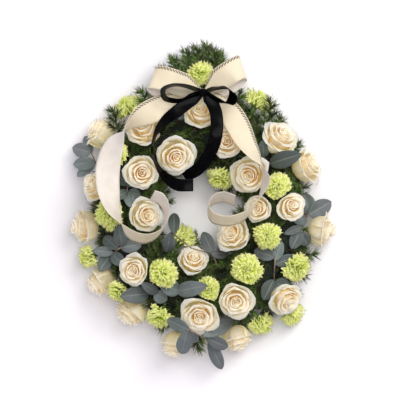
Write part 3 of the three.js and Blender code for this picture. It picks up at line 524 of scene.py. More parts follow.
for node, first in FIR_CUTS.items():
    random = np.random.default_rng(abs(first) + 5)
    start, end = math.radians(first), math.radians(first + 90)

    bm = bmesh.new()
    previous = None
    for step in range(BED_STEPS[0] + 1):
        around = -BED_OVERHANG + (math.pi + 2 * BED_OVERHANG) * step / BED_STEPS[0]
        corner = bm.verts.new(ring_point(start + CUT_GAP, around, FIR_RADIUS - BED_DEPTH))
        if previous:
            bm.edges.new((previous, corner))
        previous = corner
    bmesh.ops.spin(
        bm, geom=bm.verts[:] + bm.edges[:], axis=(0, 0, 1), angle=end - start - 2 * CUT_GAP,
        steps=BED_STEPS[1], use_merge=False,
    )
    bmesh.ops.remove_doubles(bm, verts=bm.verts, dist=MERGE_DISTANCE)
    for corner in bm.verts:
        bearing = math.atan2(corner.co.y, corner.co.x)
        middle = Vector((RING_RADIUS * math.cos(bearing), RING_RADIUS * math.sin(bearing), STRAW_HEIGHT))
        corner.co = middle + (corner.co - middle) * (1 - random.uniform(0, BED_ROUGHNESS))
    bmesh.ops.recalc_face_normals(bm, faces=bm.faces)
    outside = sum((face.calc_center_median().z - STRAW_HEIGHT) * face.normal.z for face in bm.faces)
    if outside < 0:
        bmesh.ops.reverse_faces(bm, faces=bm.faces)
    bmesh.ops.solidify(bm, geom=bm.faces[:], thickness=FIR_CORE_THICKNESS)
    bed = close_mesh(node + "_bed", bm)
    add_piece(node + "_bed", bed, [bed_finish], node)

    twigs = [
        (np.array(root, float), np.array(tip, float), LONG_TWIG_RADIUS)
        for root, tip in LONG_TWIGS[node]
    ]
    leafy_lengths = [LEAFY_IN_TUFT if tip[1] > TUFT_START else LEAFY_LONG_TWIG for _, tip, _ in twigs]
    for (root, tip, _), leafy in list(zip(twigs, leafy_lengths)):
        axis = unit(tip - root)
        side = unit(np.cross(axis, [0, 0, 1]) + random.uniform(-0.3, 0.3, 3))
        before_tip = FIRST_SIDE_TWIG
        in_tuft = tip[1] > TUFT_START
        while before_tip < min(leafy, np.linalg.norm(tip - root) - 20):
            side = -side
            sideways = 0.55 if in_tuft else 0.75
            heading = unit(axis * 0.84 + side * sideways + [0, 0, random.uniform(-0.1, 0.25)])
            foot = tip - axis * before_tip
            side_tip = foot + heading * min(30, 12 + before_tip * 0.3)
            side_way = np.array([foot, (foot + side_tip) / 2, side_tip])
            if not (inside_heads(side_way[2:], SIDE_TWIG_ROOM).any() or over_leaves(side_way).any()):
                twigs.append((foot, side_tip, SIDE_TWIG_RADIUS))
                leafy_lengths.append(LEAFY_SPRIG)
            before_tip += random.uniform(*((5.5, 8.5) if in_tuft else (8, 12)))
    tries = 0
    while len(twigs) < TWIGS_A_LENGTH and tries < MOST_TRIES:
        tries += 1
        bearing = random.uniform(start, end)
        around = random.uniform(-0.25, math.pi + 0.1)
        root = ring_point(bearing, around, FIR_RADIUS - SPRIG_SEAT)
        core = ring_point(bearing, 0, 0)
        away = unit(root - core)
        tangent = np.array([-math.sin(bearing), math.cos(bearing), 0]) * random.choice([-1, 1])
        heading = unit(away * random.uniform(0.1, 0.8) + tangent * random.uniform(0.5, 1.0))
        tip = root + heading * random.uniform(30, 46)
        probe = root + (tip - root) * np.array([[0.5], [0.75], [1.0]])
        crowded = inside_heads(probe, SPRIG_ROOM).any() or over_leaves(probe).any()
        in_opening = over_opening(tip[None], OPENING_MARGIN)[0]
        way = math.degrees(math.atan2(tip[1], tip[0]))
        reach = next((far for low, high, far in FIR_REACH if low < way < high), FIR_USUAL_REACH)
        too_far = math.hypot(tip[0], tip[1]) > reach or not SPRIG_LEVELS[0] < tip[2] < SPRIG_LEVELS[1]
        if crowded or in_opening or too_far:
            continue
        twigs.append((root, tip, SPRIG_RADIUS))
        leafy_lengths.append(LEAFY_SPRIG)

    feet, ahead, across, long, greens = [], [], [], [], []
    for (root, tip, radius), leafy in zip(twigs, leafy_lengths):
        spacing = NEEDLE_SPACING[0 if radius == LONG_TWIG_RADIUS else 1]
        parts = twig_needles(root, tip, leafy, spacing, random)
        for kept, part in zip((feet, ahead, across, long), parts):
            kept.append(part)
        greens.append(random.uniform(0, 1) + random.normal(0, 0.13, len(parts[0])))
    feet, ahead, across = np.concatenate(feet), np.concatenate(ahead), np.concatenate(across)
    long, greens = np.concatenate(long), np.concatenate(greens)
    ends = feet + ahead * long[:, None]
    keep = ~inside_heads(ends, NEEDLE_ROOM) & ~over_opening(ends, 0) & ~over_leaves(ends)
    keep &= ends[:, 2] > NEEDLE_FLOOR
    keep &= (ends[:, 2] < NEEDLE_CEILING) | (ends[:, 1] > BOW_START)
    feet, ahead, across, long = feet[keep], ahead[keep], across[keep], long[keep]
    flat = np.cross(ahead, across)
    corners = feet[:, None] + needle_corners[None, :, 0:1] * across[:, None] * NEEDLE_WIDTH / 2
    corners = corners + needle_corners[None, :, 1:2] * flat[:, None] * NEEDLE_WIDTH / 4
    corners = corners + needle_corners[None, :, 2:3] * (ahead * long[:, None])[:, None]
    tones = {"fresh": greens[keep][:, None], "toward_tip": needle_corners[None, :, 2]}
    needles = gather(node + "_needles", corners, needle_faces, tones)
    add_piece(node + "_needles", needles, [fir_finish], node)

    bm = bmesh.new()
    for root, tip, radius in twigs:
        add_rod(bm, root, tip, radius, radius * TWIG_TAPER, 5, 0)
    for root, tip, _ in twigs[::TWIGS_A_BUD]:
        half = unit(tip - root) * BUD_LENGTH / 2
        add_rod(bm, tip - half, tip + half, BUD_RADIUS, BUD_TIP_RADIUS, 8, 1)
    add_piece(node + "_twigs", close_mesh(node + "_twigs", bm), [bark_finish, bud_finish], node)

# Roses: 25 cream garden roses, half open. Each has soft petals in whorls round a tight bud, warm
# yellow in the folds and greenish outside, over a green cup and a stem cut and pushed into the fir.
# The folds' yellow is partly the petals' own and partly painted bounce light, their pale lips partly
# their own and partly a painted highlight, and the petals glow a little with painted light.
PETAL_THICKNESS = 0.5
# petals, lip radius, lip height, half spread in degrees, how far the lip rolls down
ROSE_WHORLS = [
    (2, 0.07, 0.97, 150, 0.0), (3, 0.15, 1.0, 98, 0.03), (3, 0.27, 1.0, 86, 0.06),
    (4, 0.42, 0.96, 70, 0.10), (5, 0.61, 0.87, 60, 0.14), (6, 0.84, 0.72, 58, 0.18),
]
FULLNESS = 1.13  # how far the loosest petals reach past the head's usual width
STEM_RADIUS = 2.6
GOLDEN_TURN = 2.39996
ANY_START = (0, 6.28)  # of a wave


def sheet_grid(across, along):
    """A flat grid: its corners as u from -1 to 1 and v from 0 to 1, and its faces."""
    bm = bmesh.new()
    bmesh.ops.create_grid(bm, x_segments=across, y_segments=along, size=1)
    corners, faces = shape_of(bm)
    return corners[:, 0], (corners[:, 1] + 1) / 2, faces


def thicken(mesh, thickness):
    """A bmesh of open petals or leaves that have been given a thickness."""
    thin = bpy.data.objects.new("thin", mesh)
    bpy.context.scene.collection.objects.link(thin)
    shell = thin.modifiers.new("thickness", "SOLIDIFY")
    shell.thickness = thickness
    shell.offset = 0
    shaped = bpy.data.meshes.new_from_object(thin.evaluated_get(bpy.context.evaluated_depsgraph_get()))
    bpy.data.objects.remove(thin)
    bm = bmesh.new()
    bm.from_mesh(shaped)
    bpy.data.meshes.remove(shaped)
    return bm


# The petals give off a little of their own colour as light: a painted glow standing in for light that shines
# through them.
petal_finish, tone, shader = new_finish("rose_petal", {
    "Roughness": 0.5, "Subsurface Weight": 0.7, "Subsurface Radius": (1.0, 0.8, 0.45),
    "Subsurface Scale": 0.010, "Emission Strength": 0.08,
})
outer = tone.attribute("outer")
rim = tone.attribute("rim")
veins = tone.noise(90.0, 3.0)
blush = tone.noise(9.0, 1.0)
# Golden towards each petal's foot and in the inner whorls: partly the rose's own warm heart, partly painted
# bounce light in the folds.
fold = (1 - rim.clear(0.45, 0.9)) * (1.1 - outer * 0.65)
cream = fold.clear(0.0, 1.0).tint(paint("#fbf0cc"), paint("#f6c566"))
cream = (outer.clear(0.65, 1.0) * (1 - rim.clear(0.4, 0.9)) * 0.7).tint(cream, paint("#e6dfa8"))
cream = (blush.clear(0.42, 0.66) * 0.35).tint(cream, paint("#f4e0b4"))
# Paler at each petal's lip: partly the petals' own paler edge, partly a painted highlight where the lips
# catch the light.
cream = (rim.clear(0.9, 1.0) * 0.45).tint(cream, paint("#fff6dc"))
cream = (veins.clear(0.5, 0.7) * 0.2).tint(cream, paint("#efdca6"))
feed(cream, shader, "Base Color")
# The painted glow: the petal colour, given off as light.
feed(cream, shader, "Emission Color")
emboss(veins, 0.25, 0.001, shader)

green_finish, tone, shader = new_finish("stem_green", {"Roughness": 0.5})
mottle = tone.noise(200.0, 3.0)
feed(mottle.clear(0.35, 0.65).tint(paint("#3e5a26"), paint("#6f8c3e")), shader, "Base Color")
emboss(mottle, 0.2, 0.001, shader)

across, along, petal_faces = sheet_grid(6, 6)
for number, head in enumerate(roses, 1):
    random = np.random.default_rng(300 + number)
    name = f"rose_{number:02}"
    petals, outers = [], []
    bud_shift = np.append(random.uniform(-0.07, 0.07, 2), 0)
    for whorl, (count, rim_radius, rim_height, spread, roll) in enumerate(ROSE_WHORLS):
        for k in range(count):
            radius = rim_radius * random.uniform(0.86, 1.1)
            height = rim_height + random.uniform(-0.09, 0.03)
            start = number * GOLDEN_TURN + whorl * 1.1 + (k + random.uniform(-0.2, 0.2)) * 2 * math.pi / count
            v = along * (1 - 0.20 * np.abs(across) ** 2.4 + 0.03 * np.exp(-((across / 0.25) ** 2)) - 0.02)
            wall = radius * 0.80
            low = (0.06, 0.10)
            belly = (wall * 1.45 + 0.05, 0.32 * height)
            neck = (wall * 0.86, 0.99 * height)
            out, up = (
                (1 - v) ** 3 * low[axis] + 3 * v * (1 - v) ** 2 * belly[axis]
                + 3 * v**2 * (1 - v) * neck[axis] + v**3 * (radius, height)[axis]
                for axis in (0, 1)
            )
            rolled = np.clip((v - 0.7) / 0.3, 0, 1) ** 2
            loose = random.uniform(0.7, 1.3)
            out = out + roll * rolled * loose * 0.8 + 0.07 * radius * across
            out = out + 0.018 * v**2 * np.sin(across * 7 + random.uniform(*ANY_START))
            up = up - roll * rolled * loose * (0.3 + 0.7 * across**2)
            up = up + 0.012 * v**2 * np.sin(across * 9 + random.uniform(*ANY_START))
            wide = 0.38 + 0.62 * np.sin(math.pi * (0.12 + 0.6 * v))
            angle = start + across * math.radians(spread) * wide
            local = np.stack((out * np.cos(angle), out * np.sin(angle), up), axis=1)
            local = local + bud_shift * (1 - rim_radius) * v[:, None]
            local = local * [head.width / 2 * FULLNESS, head.width / 2 * FULLNESS, head.height]
            petals.append(pressed(head.base + local @ head.turn.T, head))
            outers.append(whorl / (len(ROSE_WHORLS) - 1))
    tones = {"outer": np.array(outers)[:, None], "rim": along[None]}
    bm = thicken(gather(name, np.array(petals), petal_faces, tones), PETAL_THICKNESS)
    cup = head.base + head.axis * head.height * 0.16
    add_rod(bm, head.base - head.axis, cup, STEM_RADIUS * 1.1, head.radius * 0.2, 10, 1)
    add_rod(bm, head.stem_end, head.base, STEM_RADIUS, STEM_RADIUS, 8, 1)
    add_piece(name + "_bloom", mesh_of(name, bm), [petal_finish, green_finish], name)

# Carnations: 19 lime green carnations, fully open. Dozens of fan petals with frilled, toothed edges
# stand out of a green tube, packed into a dome, paler at the edges than inside. The petals glow a
# little with painted light.
CARNATION_PETALS = 58
FRILLS = 4

# The petals give off a little of their own colour as light: a painted glow standing in for light that shines
# through them.
frill_finish, tone, shader = new_finish("carnation_petal", {
    "Roughness": 0.6, "Subsurface Weight": 0.3, "Subsurface Radius": (0.8, 1.0, 0.35),
    "Subsurface Scale": 0.003, "Emission Strength": 0.06,
})
rim = tone.attribute("rim")
shade = tone.attribute("shade")
fibres = tone.noise(140.0, 3.0)
lime = rim.clear(0.25, 0.95).tint(paint("#839a10"), paint("#cfdc55"))
lime = (shade * 0.4).tint(lime, paint("#e0ea86"))
lime = (rim.clear(0.78, 1.0) * 0.75).tint(lime, paint("#f4f5b4"))
lime = (fibres.clear(0.5, 0.75) * 0.3).tint(lime, paint("#a9c036"))
feed(lime, shader, "Base Color")
# The painted glow: the petal colour, given off as light.
feed(lime, shader, "Emission Color")
emboss(fibres, 0.25, 0.001, shader)

across, along, fan_faces = sheet_grid(10, 3)
tooth = np.where(np.round((across + 1) * 5) % 2 == 0, 1.0, 0.0)
for number, head in enumerate(carnations, 1):
    random = np.random.default_rng(500 + number)
    name = f"carnation_{number:02}"
    petals, shades = [], []
    lumps = random.uniform(*ANY_START, 3)
    for k in range(CARNATION_PETALS):
        open_share = (k + 0.5) / CARNATION_PETALS
        tilt = math.radians(-3 + 96 * open_share**0.6) + random.uniform(-0.1, 0.1)
        start = number + k * GOLDEN_TURN
        lump = 1 + 0.06 * math.sin(2 * start + lumps[0]) + 0.06 * math.sin(5 * start + lumps[1])
        rim_out = math.sin(tilt) * random.uniform(0.84, 1.06) * lump - 0.04 * (1 - open_share)
        dome = 1 + 0.1 * math.sin(start + lumps[2])
        rim_up = 0.55 + 0.46 * math.cos(tilt) * dome + random.uniform(-0.13, 0.05)
        v = along - 0.12 * tooth * along**4 - 0.10 * np.abs(across) ** 2 * along
        out = 0.04 + (rim_out - 0.04) * v ** (1.5 if tilt < 1 else 1.1)
        up = 0.30 + (rim_up - 0.30) * np.sin(v * math.pi / 2) ** 0.9
        frill_depth = random.uniform(0.10, 0.17)
        frill_start = random.uniform(*ANY_START)
        frill = frill_depth * v**2 * np.sin(across * math.pi * FRILLS / 2 + frill_start)
        out = out + frill * math.cos(tilt)
        up = up + frill * math.sin(tilt) * 1.2
        sideways = across * (0.05 + 0.30 * v) * (0.62 + 0.5 * open_share)
        twist = frill * 0.6
        local = np.stack((
            out * math.cos(start) - (sideways + twist) * math.sin(start),
            out * math.sin(start) + (sideways + twist) * math.cos(start),
            up,
        ), axis=1)
        local = local * [head.width / 2 * 1.04, head.width / 2 * 1.04, head.height]
        petals.append(pressed(head.base + local @ head.turn.T, head))
        shades.append(random.uniform(0, 1))
    tones = {"shade": np.array(shades)[:, None], "rim": along[None]}
    bm = thicken(gather(name, np.array(petals), fan_faces, tones), PETAL_THICKNESS)
    cup = head.base + head.axis * head.height * 0.40
    add_rod(bm, head.base, cup, STEM_RADIUS * 1.5, head.radius * 0.24, 10, 1)
    add_rod(bm, head.stem_end, head.base, STEM_RADIUS, STEM_RADIUS, 8, 1)
    add_piece(name + "_bloom", mesh_of(name, bm), [frill_finish, green_finish], name)

# Eucalyptus: nine cut branches laid over the blooms, their round leaves a bloomy grey-green with a
# pale midrib. Each stem goes down between the heads into the fir.
LEAF_THICKNESS = 0.7
LEAF_FOLD = 0.3
LEAF_ARCH = 0.06
LEAF_STEP = 0.14  # between leaves of one stem point, as a share of the way to the next
TWIG_RADIUS = 1.5
STEM_SPREAD = 2.4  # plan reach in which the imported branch's height is read, on the stem and at tips
TIP_SPREAD = 1.0
FOOT_SPREAD = 2.5  # how much farther out than its nearest corner a foot reaches
# The plan points of each stem, then its leaves: the stem point, the tip's place, the width.
BRANCHES = [
    ([(-222, 110), (-232, 132)],
     [(0, -270, 108, 27), (0, -262, 82, 20), (1, -272, 143, 28), (1, -246, 168, 18)]),
    ([(-154, 48), (-156, 62)],
     [(1, -176, 88, 20), (1, -138, 86, 20), (0, -128, 44, 22), (0, -146, 16, 20), (0, -182, 34, 18)]),
    ([(-166, -64), (-192, -82)],
     [(0, -172, -16, 26), (0, -124, -58, 26), (0, -206, -44, 24), (1, -214, -116, 26),
      (1, -158, -104, 24), (1, -228, -72, 20)]),
    ([(-110, -162), (-44, -156)],
     [(0, -170, -166, 32), (0, -72, -176, 26), (1, -88, -142, 30), (1, 12, -142, 30),
      (0, -126, -138, 20)]),
    ([(24, -80), (-22, -66), (-64, -34)],
     [(0, 2, -34, 24), (0, 54, -78, 22), (2, -74, -76, 24), (2, -58, 6, 22)]),
    ([(140, 108), (128, 122)],
     [(0, 206, 128, 32), (1, 126, 158, 22), (1, 108, 132, 20)]),
    ([(224, 6), (204, -34)],
     [(0, 214, 48, 32), (0, 272, 30, 32), (0, 190, -12, 22), (1, 222, -62, 26), (1, 186, -70, 26),
      (1, 170, -38, 16)]),
    ([(152, -86), (150, -140)],
     [(0, 108, -72, 26), (0, 166, -52, 20), (1, 184, -150, 30), (1, 128, -176, 30),
      (0, 196, -84, 22)]),
    ([(14, -256), (-30, -232)],
     [(1, -42, -286, 28), (1, -72, -214, 24), (0, 42, -322, 24), (0, 54, -274, 24),
      (0, 66, -216, 28), (1, -16, -262, 18)]),
]

leaf_finish, tone, shader = new_finish("eucalyptus_leaf", {"Roughness": 0.6, "Sheen Weight": 0.15})
rib = tone.attribute("rib")
young = tone.attribute("young")
bloomy = tone.noise(45.0, 4.0)
grey_green = (young * 0.6 + bloomy * 0.7 - 0.35).clear(0.0, 1.0).tint(paint("#48534f"), paint("#7e8b8a"))
grey_green = (tone.noise(12.0, 1.0).clear(0.5, 0.7) * 0.35).tint(grey_green, paint("#6d6a72"))
grey_green = (rib.clear(0.88, 0.98) * 0.3).tint(grey_green, paint("#a3aa9f"))
feed(grey_green, shader, "Base Color")
fine = tone.noise(350.0, 2.0)
emboss(fine * 0.4 + rib, 0.3, 0.001, shader)

twig_finish, tone, shader = new_finish("eucalyptus_twig", {"Roughness": 0.65})
rind = tone.noise(150.0, 3.0)
feed(rind.clear(0.35, 0.65).tint(paint("#6b5a50"), paint("#a58c7c")), shader, "Base Color")


def height_at(corners, x, y, reach):
    """A packed branch's height over a plan point, from its corners within reach."""
    away = np.hypot(corners[:, 0] - x, corners[:, 1] - y)
    near = corners[away < max(reach, away.min() + 0.3)]
    return near[:, 2][near[:, 2] > near[:, 2].max() - 6].mean()


def foot_in_fir(corners, spread):
    """Where a packed stem or wire ends: the middle of its corners nearest the ring's core."""
    off_circle = np.hypot(corners[:, 0], corners[:, 1]) - RING_RADIUS
    distance = np.hypot(off_circle, corners[:, 2] - STRAW_HEIGHT)
    return corners[distance < distance.min() + spread].mean(axis=0)


across, along, leaf_faces = sheet_grid(6, 10)
for number, (plan, leaves) in enumerate(BRANCHES, 1):
    node = f"eucalyptus_{number}"
    random = np.random.default_rng(700 + number)
    corners = packed_corners(node)
    points = [np.array([x, y, height_at(corners, x, y, STEM_SPREAD)]) for x, y in plan]
    foot = foot_in_fir(corners, FOOT_SPREAD)
    grown = [0] * len(points)
    blades, youth = [], []
    for at, x, y, width in leaves:
        following = points[at + 1] if at + 1 < len(points) else points[at - 1]
        base = points[at] + (following - points[at]) * grown[at] * LEAF_STEP
        grown[at] += 1
        tip = np.array([x, y, height_at(corners, x, y, TIP_SPREAD)])
        length = np.linalg.norm(tip - base)
        ahead = (tip - base) / length
        side = unit(np.cross(ahead, [0, 0, 1]))
        up = np.cross(side, ahead)
        wide = np.sin(math.pi * np.clip(along, 0, 1) ** 0.95) ** 0.62
        out = across * width / 2 * wide * 1.12
        wave = 0.5 * np.sin(along * 9 + across * 2 + number) * np.abs(across)
        rise = np.abs(out) * LEAF_FOLD + np.sin(along * math.pi) * length * LEAF_ARCH + wave
        blades.append(base + ahead * (along * length)[:, None] + side * out[:, None] + up * rise[:, None])
        youth.append(random.uniform(0, 1))
    tones = {"young": np.array(youth)[:, None], "rib": (1 - np.abs(across))[None]}
    bm = thicken(gather(node, np.array(blades), leaf_faces, tones), LEAF_THICKNESS)
    bmesh.ops.remove_doubles(bm, verts=bm.verts, dist=1e-3)
    for start, end in zip(points, points[1:]):
        add_rod(bm, start, end, TWIG_RADIUS, TWIG_RADIUS * 0.85, 8, 1)
    add_rod(bm, foot, points[0], TWIG_RADIUS, TWIG_RADIUS, 8, 1)
    add_piece(node + "_branch", mesh_of(node, bm), [leaf_finish, twig_finish], node)

# Cream bow: one matte ribbon 50 mm wide with a fine gilt sprig border along one edge, folded into
# two loops and two long curling tails, gathered in the middle and wired down into the fir.
CREAM_WIDTH = 50
CREAM_THICKNESS = 0.6
STRIP_STEPS = (10, 110)  # across a strip, along it
LINE_STEPS = 400  # along the line that a strip's length is measured on
PINCH_EASE = 5  # a gathered strip is full width after about a fifth of its length at most
WEAVE = 5.0  # radians of the threads' wave to a millimetre
BORDER_REPEAT = 6.5
LEAF_MARK_PLACE = 0.085  # of the width, in from the bordered edge
DOT_MARK_PLACE = 0.05
# Points of a strip's middle line and the way across it, from its bordered edge to its plain one.
CREAM_LOOPS = [
    [
        (-4, 256, 132, -0.2, -0.98, 0), (-36, 268, 146, -0.3, -0.95, 0),
        (-74, 281, 156, -0.33, -0.94, 0.1), (-98, 285, 149, -0.35, -0.93, 0.1),
        (-103, 281, 136, -0.35, -0.93, 0.1), (-91, 271, 127, -0.33, -0.94, 0.1),
        (-46, 260, 122, -0.2, -0.97, 0), (-4, 254, 125, -0.1, -0.99, 0),
    ],
    [
        (8, 256, 132, 0.3, -0.95, 0), (36, 279, 148, 0.58, -0.81, 0),
        (62, 297, 160, 0.45, -0.89, 0.1), (80, 306, 152, 0.3, -0.95, 0.1),
        (85, 302, 138, 0.3, -0.95, 0.1), (76, 290, 129, 0.35, -0.93, 0.1),
        (42, 270, 122, 0.5, -0.86, 0), (8, 254, 125, 0.2, -0.98, 0),
    ],
]
CREAM_TAILS = [
    [
        (-4, 252, 128, 0.3, -0.95, 0), (-34, 242, 130, 0.4, -0.9, 0),
        (-66, 232, 134, 0.5, -0.86, 0.05), (-112, 211, 148, 0.5, -0.8, -0.3),
        (-152, 185, 158, 0.1, -0.25, -0.95), (-180, 147, 156, -0.75, 0.3, -0.6),
        (-193, 96, 150, -0.98, 0.05, 0.05), (-190, 46, 152, -0.85, -0.1, 0.5),
        (-176, 4, 163, -0.4, -0.05, 0.9), (-158, -28, 142, 0.05, 0.35, 0.93),
        (-138, -42, 131, 0.15, 0.42, 0.88), (-114, -46, 127, 0.2, 0.42, 0.88),
        (-90, -36, 129, 0.2, 0.42, 0.88), (-75, -14, 136, 0.2, 0.42, 0.88),
        (-73, 14, 146, 0.2, 0.42, 0.88), (-84, 34, 154, 0.2, 0.42, 0.88),
        (-102, 42, 158, 0.25, 0.4, 0.88),
    ],
    [
        (8, 252, 128, -0.5, -0.85, 0), (28, 241, 131, -0.7, -0.7, 0),
        (50, 222, 134, -0.8, -0.6, 0.05), (74, 186, 152, -0.9, -0.4, 0.2),
        (92, 150, 162, -0.75, -0.3, 0.6), (110, 122, 172, -0.4, -0.2, 0.9),
        (126, 98, 172, 0.1, 0, 0.99), (132, 74, 168, 0.3, 0.05, 0.95),
        (124, 48, 162, 0.25, 0.15, 0.95), (106, 20, 157, 0.1, 0.35, 0.93),
        (88, 0, 140, 0.05, 0.42, 0.9), (66, -9, 132, 0.05, 0.44, 0.9),
        (42, -10, 128, 0.05, 0.44, 0.9), (20, -2, 126, 0.05, 0.44, 0.9),
        (12, 16, 126, 0.05, 0.44, 0.9), (22, 34, 127, 0.05, 0.44, 0.9),
        (46, 40, 128, 0.05, 0.44, 0.9), (68, 32, 129, 0.05, 0.44, 0.9),
    ],
]
CREAM_KNOT = (2, 253, 131.5)
CREAM_KNOT_SIZE = (10, 10, 10.2)
WIRE_RADIUS = 1.2
WIRE_TOP = (9, 256, 126)
WIRE_BEND = (22, 257, 43)
WIRE_SPREAD = 1.5


def smooth_line(points, shares):
    """A centripetal curve through the points, at shares from 0 to 1 of its spans."""
    points = np.array(points, float)
    first = 2 * points[0] - points[1]
    last = 2 * points[-1] - points[-2]
    padded = np.vstack((first, points, last))
    spans = len(points) - 1
    at = np.clip((shares * spans).astype(int), 0, spans - 1)
    part = (shares * spans - at)[:, None]
    p0, p1, p2, p3 = (padded[at + k] for k in range(4))
    gap0, gap1, gap2 = (
        np.maximum(np.linalg.norm(b - a, axis=1), 1e-8)[:, None] ** 0.5
        for a, b in ((p0, p1), (p1, p2), (p2, p3))
    )
    way1 = ((p1 - p0) / gap0 - (p2 - p0) / (gap0 + gap1) + (p2 - p1) / gap1) * gap1
    way2 = ((p2 - p1) / gap1 - (p3 - p1) / (gap1 + gap2) + (p3 - p2) / gap2) * gap1
    cubic = 2 * p1 - 2 * p2 + way1 + way2
    square = 3 * p2 - 3 * p1 - 2 * way1 - way2
    return ((cubic * part + square) * part + way1) * part + p1


def ribbon_strip(points, width, pinch_start, pinch_end, flip, seed):
    """One strip's corners, their places across and along it, its faces and its length."""
    points = np.array(points, float)
    u, v, faces = sheet_grid(*STRIP_STEPS)
    middle = smooth_line(points[:, :3], v)
    way = smooth_line(points[:, 3:], v)
    way /= np.linalg.norm(way, axis=1)[:, None]
    shares = np.linspace(0, 1, LINE_STEPS)
    steps = np.linalg.norm(np.diff(smooth_line(points[:, :3], shares), axis=0), axis=1)
    run = np.interp(v, shares, np.concatenate(([0], np.cumsum(steps))))
    pinch = np.minimum(pinch_start + v * PINCH_EASE, pinch_end + (1 - v) * PINCH_EASE)
    pinch = np.minimum(1, pinch)
    ahead = smooth_line(points[:, :3], np.minimum(v + 0.01, 1))
    ahead -= smooth_line(points[:, :3], np.maximum(v - 0.01, 0))
    ahead /= np.linalg.norm(ahead, axis=1)[:, None]
    out = np.cross(way, ahead)
    gathers = (1 - pinch) * 2.2 * np.sin(u * 9 + seed)
    ripple = 0.45 * np.sin(run / 17 + seed) * u**2 + 0.3 * np.sin(run / 7 + u * 2 + seed)
    edge_curl = -0.8 * u**2
    corners = middle + way * (u * width / 2 * pinch)[:, None]
    corners += out * (gathers + ripple + edge_curl)[:, None]
    if flip:
        faces = faces[:, ::-1]
    return corners, (u + 1) / 2, run, faces, steps.sum()


def ribbon_mesh(name, strips):
    """All the strips of one ribbon as one mesh, with their places across and along."""
    parts = []
    for corners, over, run, faces, _ in strips:
        parts.append(gather(name, corners[None], faces, {"over": over[None], "run": run[None]}))
    bm = bmesh.new()
    for part in parts:
        bm.from_mesh(part)
        bpy.data.meshes.remove(part)
    return mesh_of(name, bm)


def weave(tone):
    """The height of a fine plain weave that follows the cream ribbon."""
    over = tone.attribute("over")
    run = tone.attribute("run")
    return (over * CREAM_WIDTH * WEAVE).maths("SINE") + (run * WEAVE).maths("SINE")


face_finish, tone, shader = new_finish("cream_ribbon_face", {"Roughness": 0.72, "Sheen Weight": 0.3})
over = tone.attribute("over")
run = tone.attribute("run")
cloth_shade = tone.noise(30.0, 3.0)
cloth = cloth_shade.clear(0.3, 0.7).tint(paint("#ddd1b2"), paint("#e5dabd"))
leaf_run = ((run / BORDER_REPEAT).maths("FRACT") - 0.5) * BORDER_REPEAT
leaf_over = (over - LEAF_MARK_PLACE) * CREAM_WIDTH
slant = leaf_run + leaf_over * 0.9
leaf_mark = 1 - (slant * slant * 0.26 + leaf_over * leaf_over * 0.11).clear(0.8, 1.3)
dot_run = ((run / BORDER_REPEAT + 0.5).maths("FRACT") - 0.5) * BORDER_REPEAT
dot_over = (over - DOT_MARK_PLACE) * CREAM_WIDTH
dot_mark = 1 - (dot_run * dot_run * 0.6 + dot_over * dot_over * 0.7).clear(0.6, 1.1)
border = leaf_mark.maths("MAXIMUM", dot_mark)
feed((border * 0.9).tint(cloth, paint("#3b2612")), shader, "Base Color")
feed(0.72 - border * 0.3, shader, "Roughness")
emboss(weave(tone), 0.12, 0.0004, shader)

back_finish, tone, shader = new_finish("cream_ribbon_back", {"Roughness": 0.75, "Sheen Weight": 0.3})
back_shade = tone.noise(40.0, 3.0)
feed(back_shade.clear(0.3, 0.7).tint(paint("#dcd4c6"), paint("#e6dfd3")), shader, "Base Color")
emboss(weave(tone), 0.12, 0.0004, shader)


def finish_ribbon(name, strips, finishes, node, thickness):
    """A ribbon as a piece with thickness, its second finish on the back."""
    ribbon = add_piece(name, ribbon_mesh(name, strips), finishes, node)
    shell = ribbon.modifiers.new("thickness", "SOLIDIFY")
    shell.thickness = thickness / 1000
    shell.offset = 0
    shell.material_offset = len(finishes) - 1
    return ribbon


def add_knot(name, centre, size, folds, finishes, node):
    """The gathered middle of a bow: a fold of ribbon drawn tight round it."""
    bm = bmesh.new()
    bmesh.ops.create_uvsphere(bm, u_segments=40, v_segments=20, radius=1)
    for corner in bm.verts:
        around = math.atan2(corner.co.z, corner.co.x)
        waist = 1 + 0.06 * math.sin(around * folds) - 0.10 * (1 - abs(corner.co.y)) * math.cos(around * 2)
        ridge = 0.05 * math.sin(corner.co.y * 9)
        corner.co.x *= size[0] * (waist + ridge)
        corner.co.y *= size[1]
        corner.co.z *= size[2] * (waist + ridge)
    bmesh.ops.translate(bm, vec=centre, verts=bm.verts)
    return add_piece(name, close_mesh(name, bm), finishes, node)


strips = [
    ribbon_strip(CREAM_LOOPS[0], CREAM_WIDTH, 0.3, 0.3, True, 0.4),
    ribbon_strip(CREAM_LOOPS[1], CREAM_WIDTH, 0.3, 0.3, False, 1.7),
    ribbon_strip(CREAM_TAILS[0], CREAM_WIDTH, 0.3, 1, True, 2.9),
    ribbon_strip(CREAM_TAILS[1], CREAM_WIDTH, 0.3, 1, False, 4.1),
]
cream_length = sum(strip[4] for strip in strips)
cream_ribbon = finish_ribbon(
    "cream_bow", strips, [face_finish, back_finish], "cream_ribbon", CREAM_THICKNESS,
)
cream_knot = add_knot(
    "cream_bow_knot", CREAM_KNOT, CREAM_KNOT_SIZE, 11, [back_finish], "cream_ribbon",
)
wire_finish, tone, shader = new_finish("tie_wire", {"Metallic": 1.0, "Roughness": 0.45})
tarnish = tone.noise(250.0, 2.0)
feed(tarnish.clear(0.35, 0.65).tint(paint("#3c4a34"), paint("#5b6650")), shader, "Base Color")
wire_foot = foot_in_fir(packed_corners("cream_ribbon"), WIRE_SPREAD)
bm = bmesh.new()
add_rod(bm, wire_foot, WIRE_BEND, WIRE_RADIUS, WIRE_RADIUS, 10, 0)
add_rod(bm, WIRE_BEND, WIRE_TOP, WIRE_RADIUS, WIRE_RADIUS, 10, 0)
cream_wire = add_piece(
    "cream_bow_wire", close_mesh("cream_bow_wire", bm), [wire_finish], "cream_ribbon",
)
cream_length / 1000

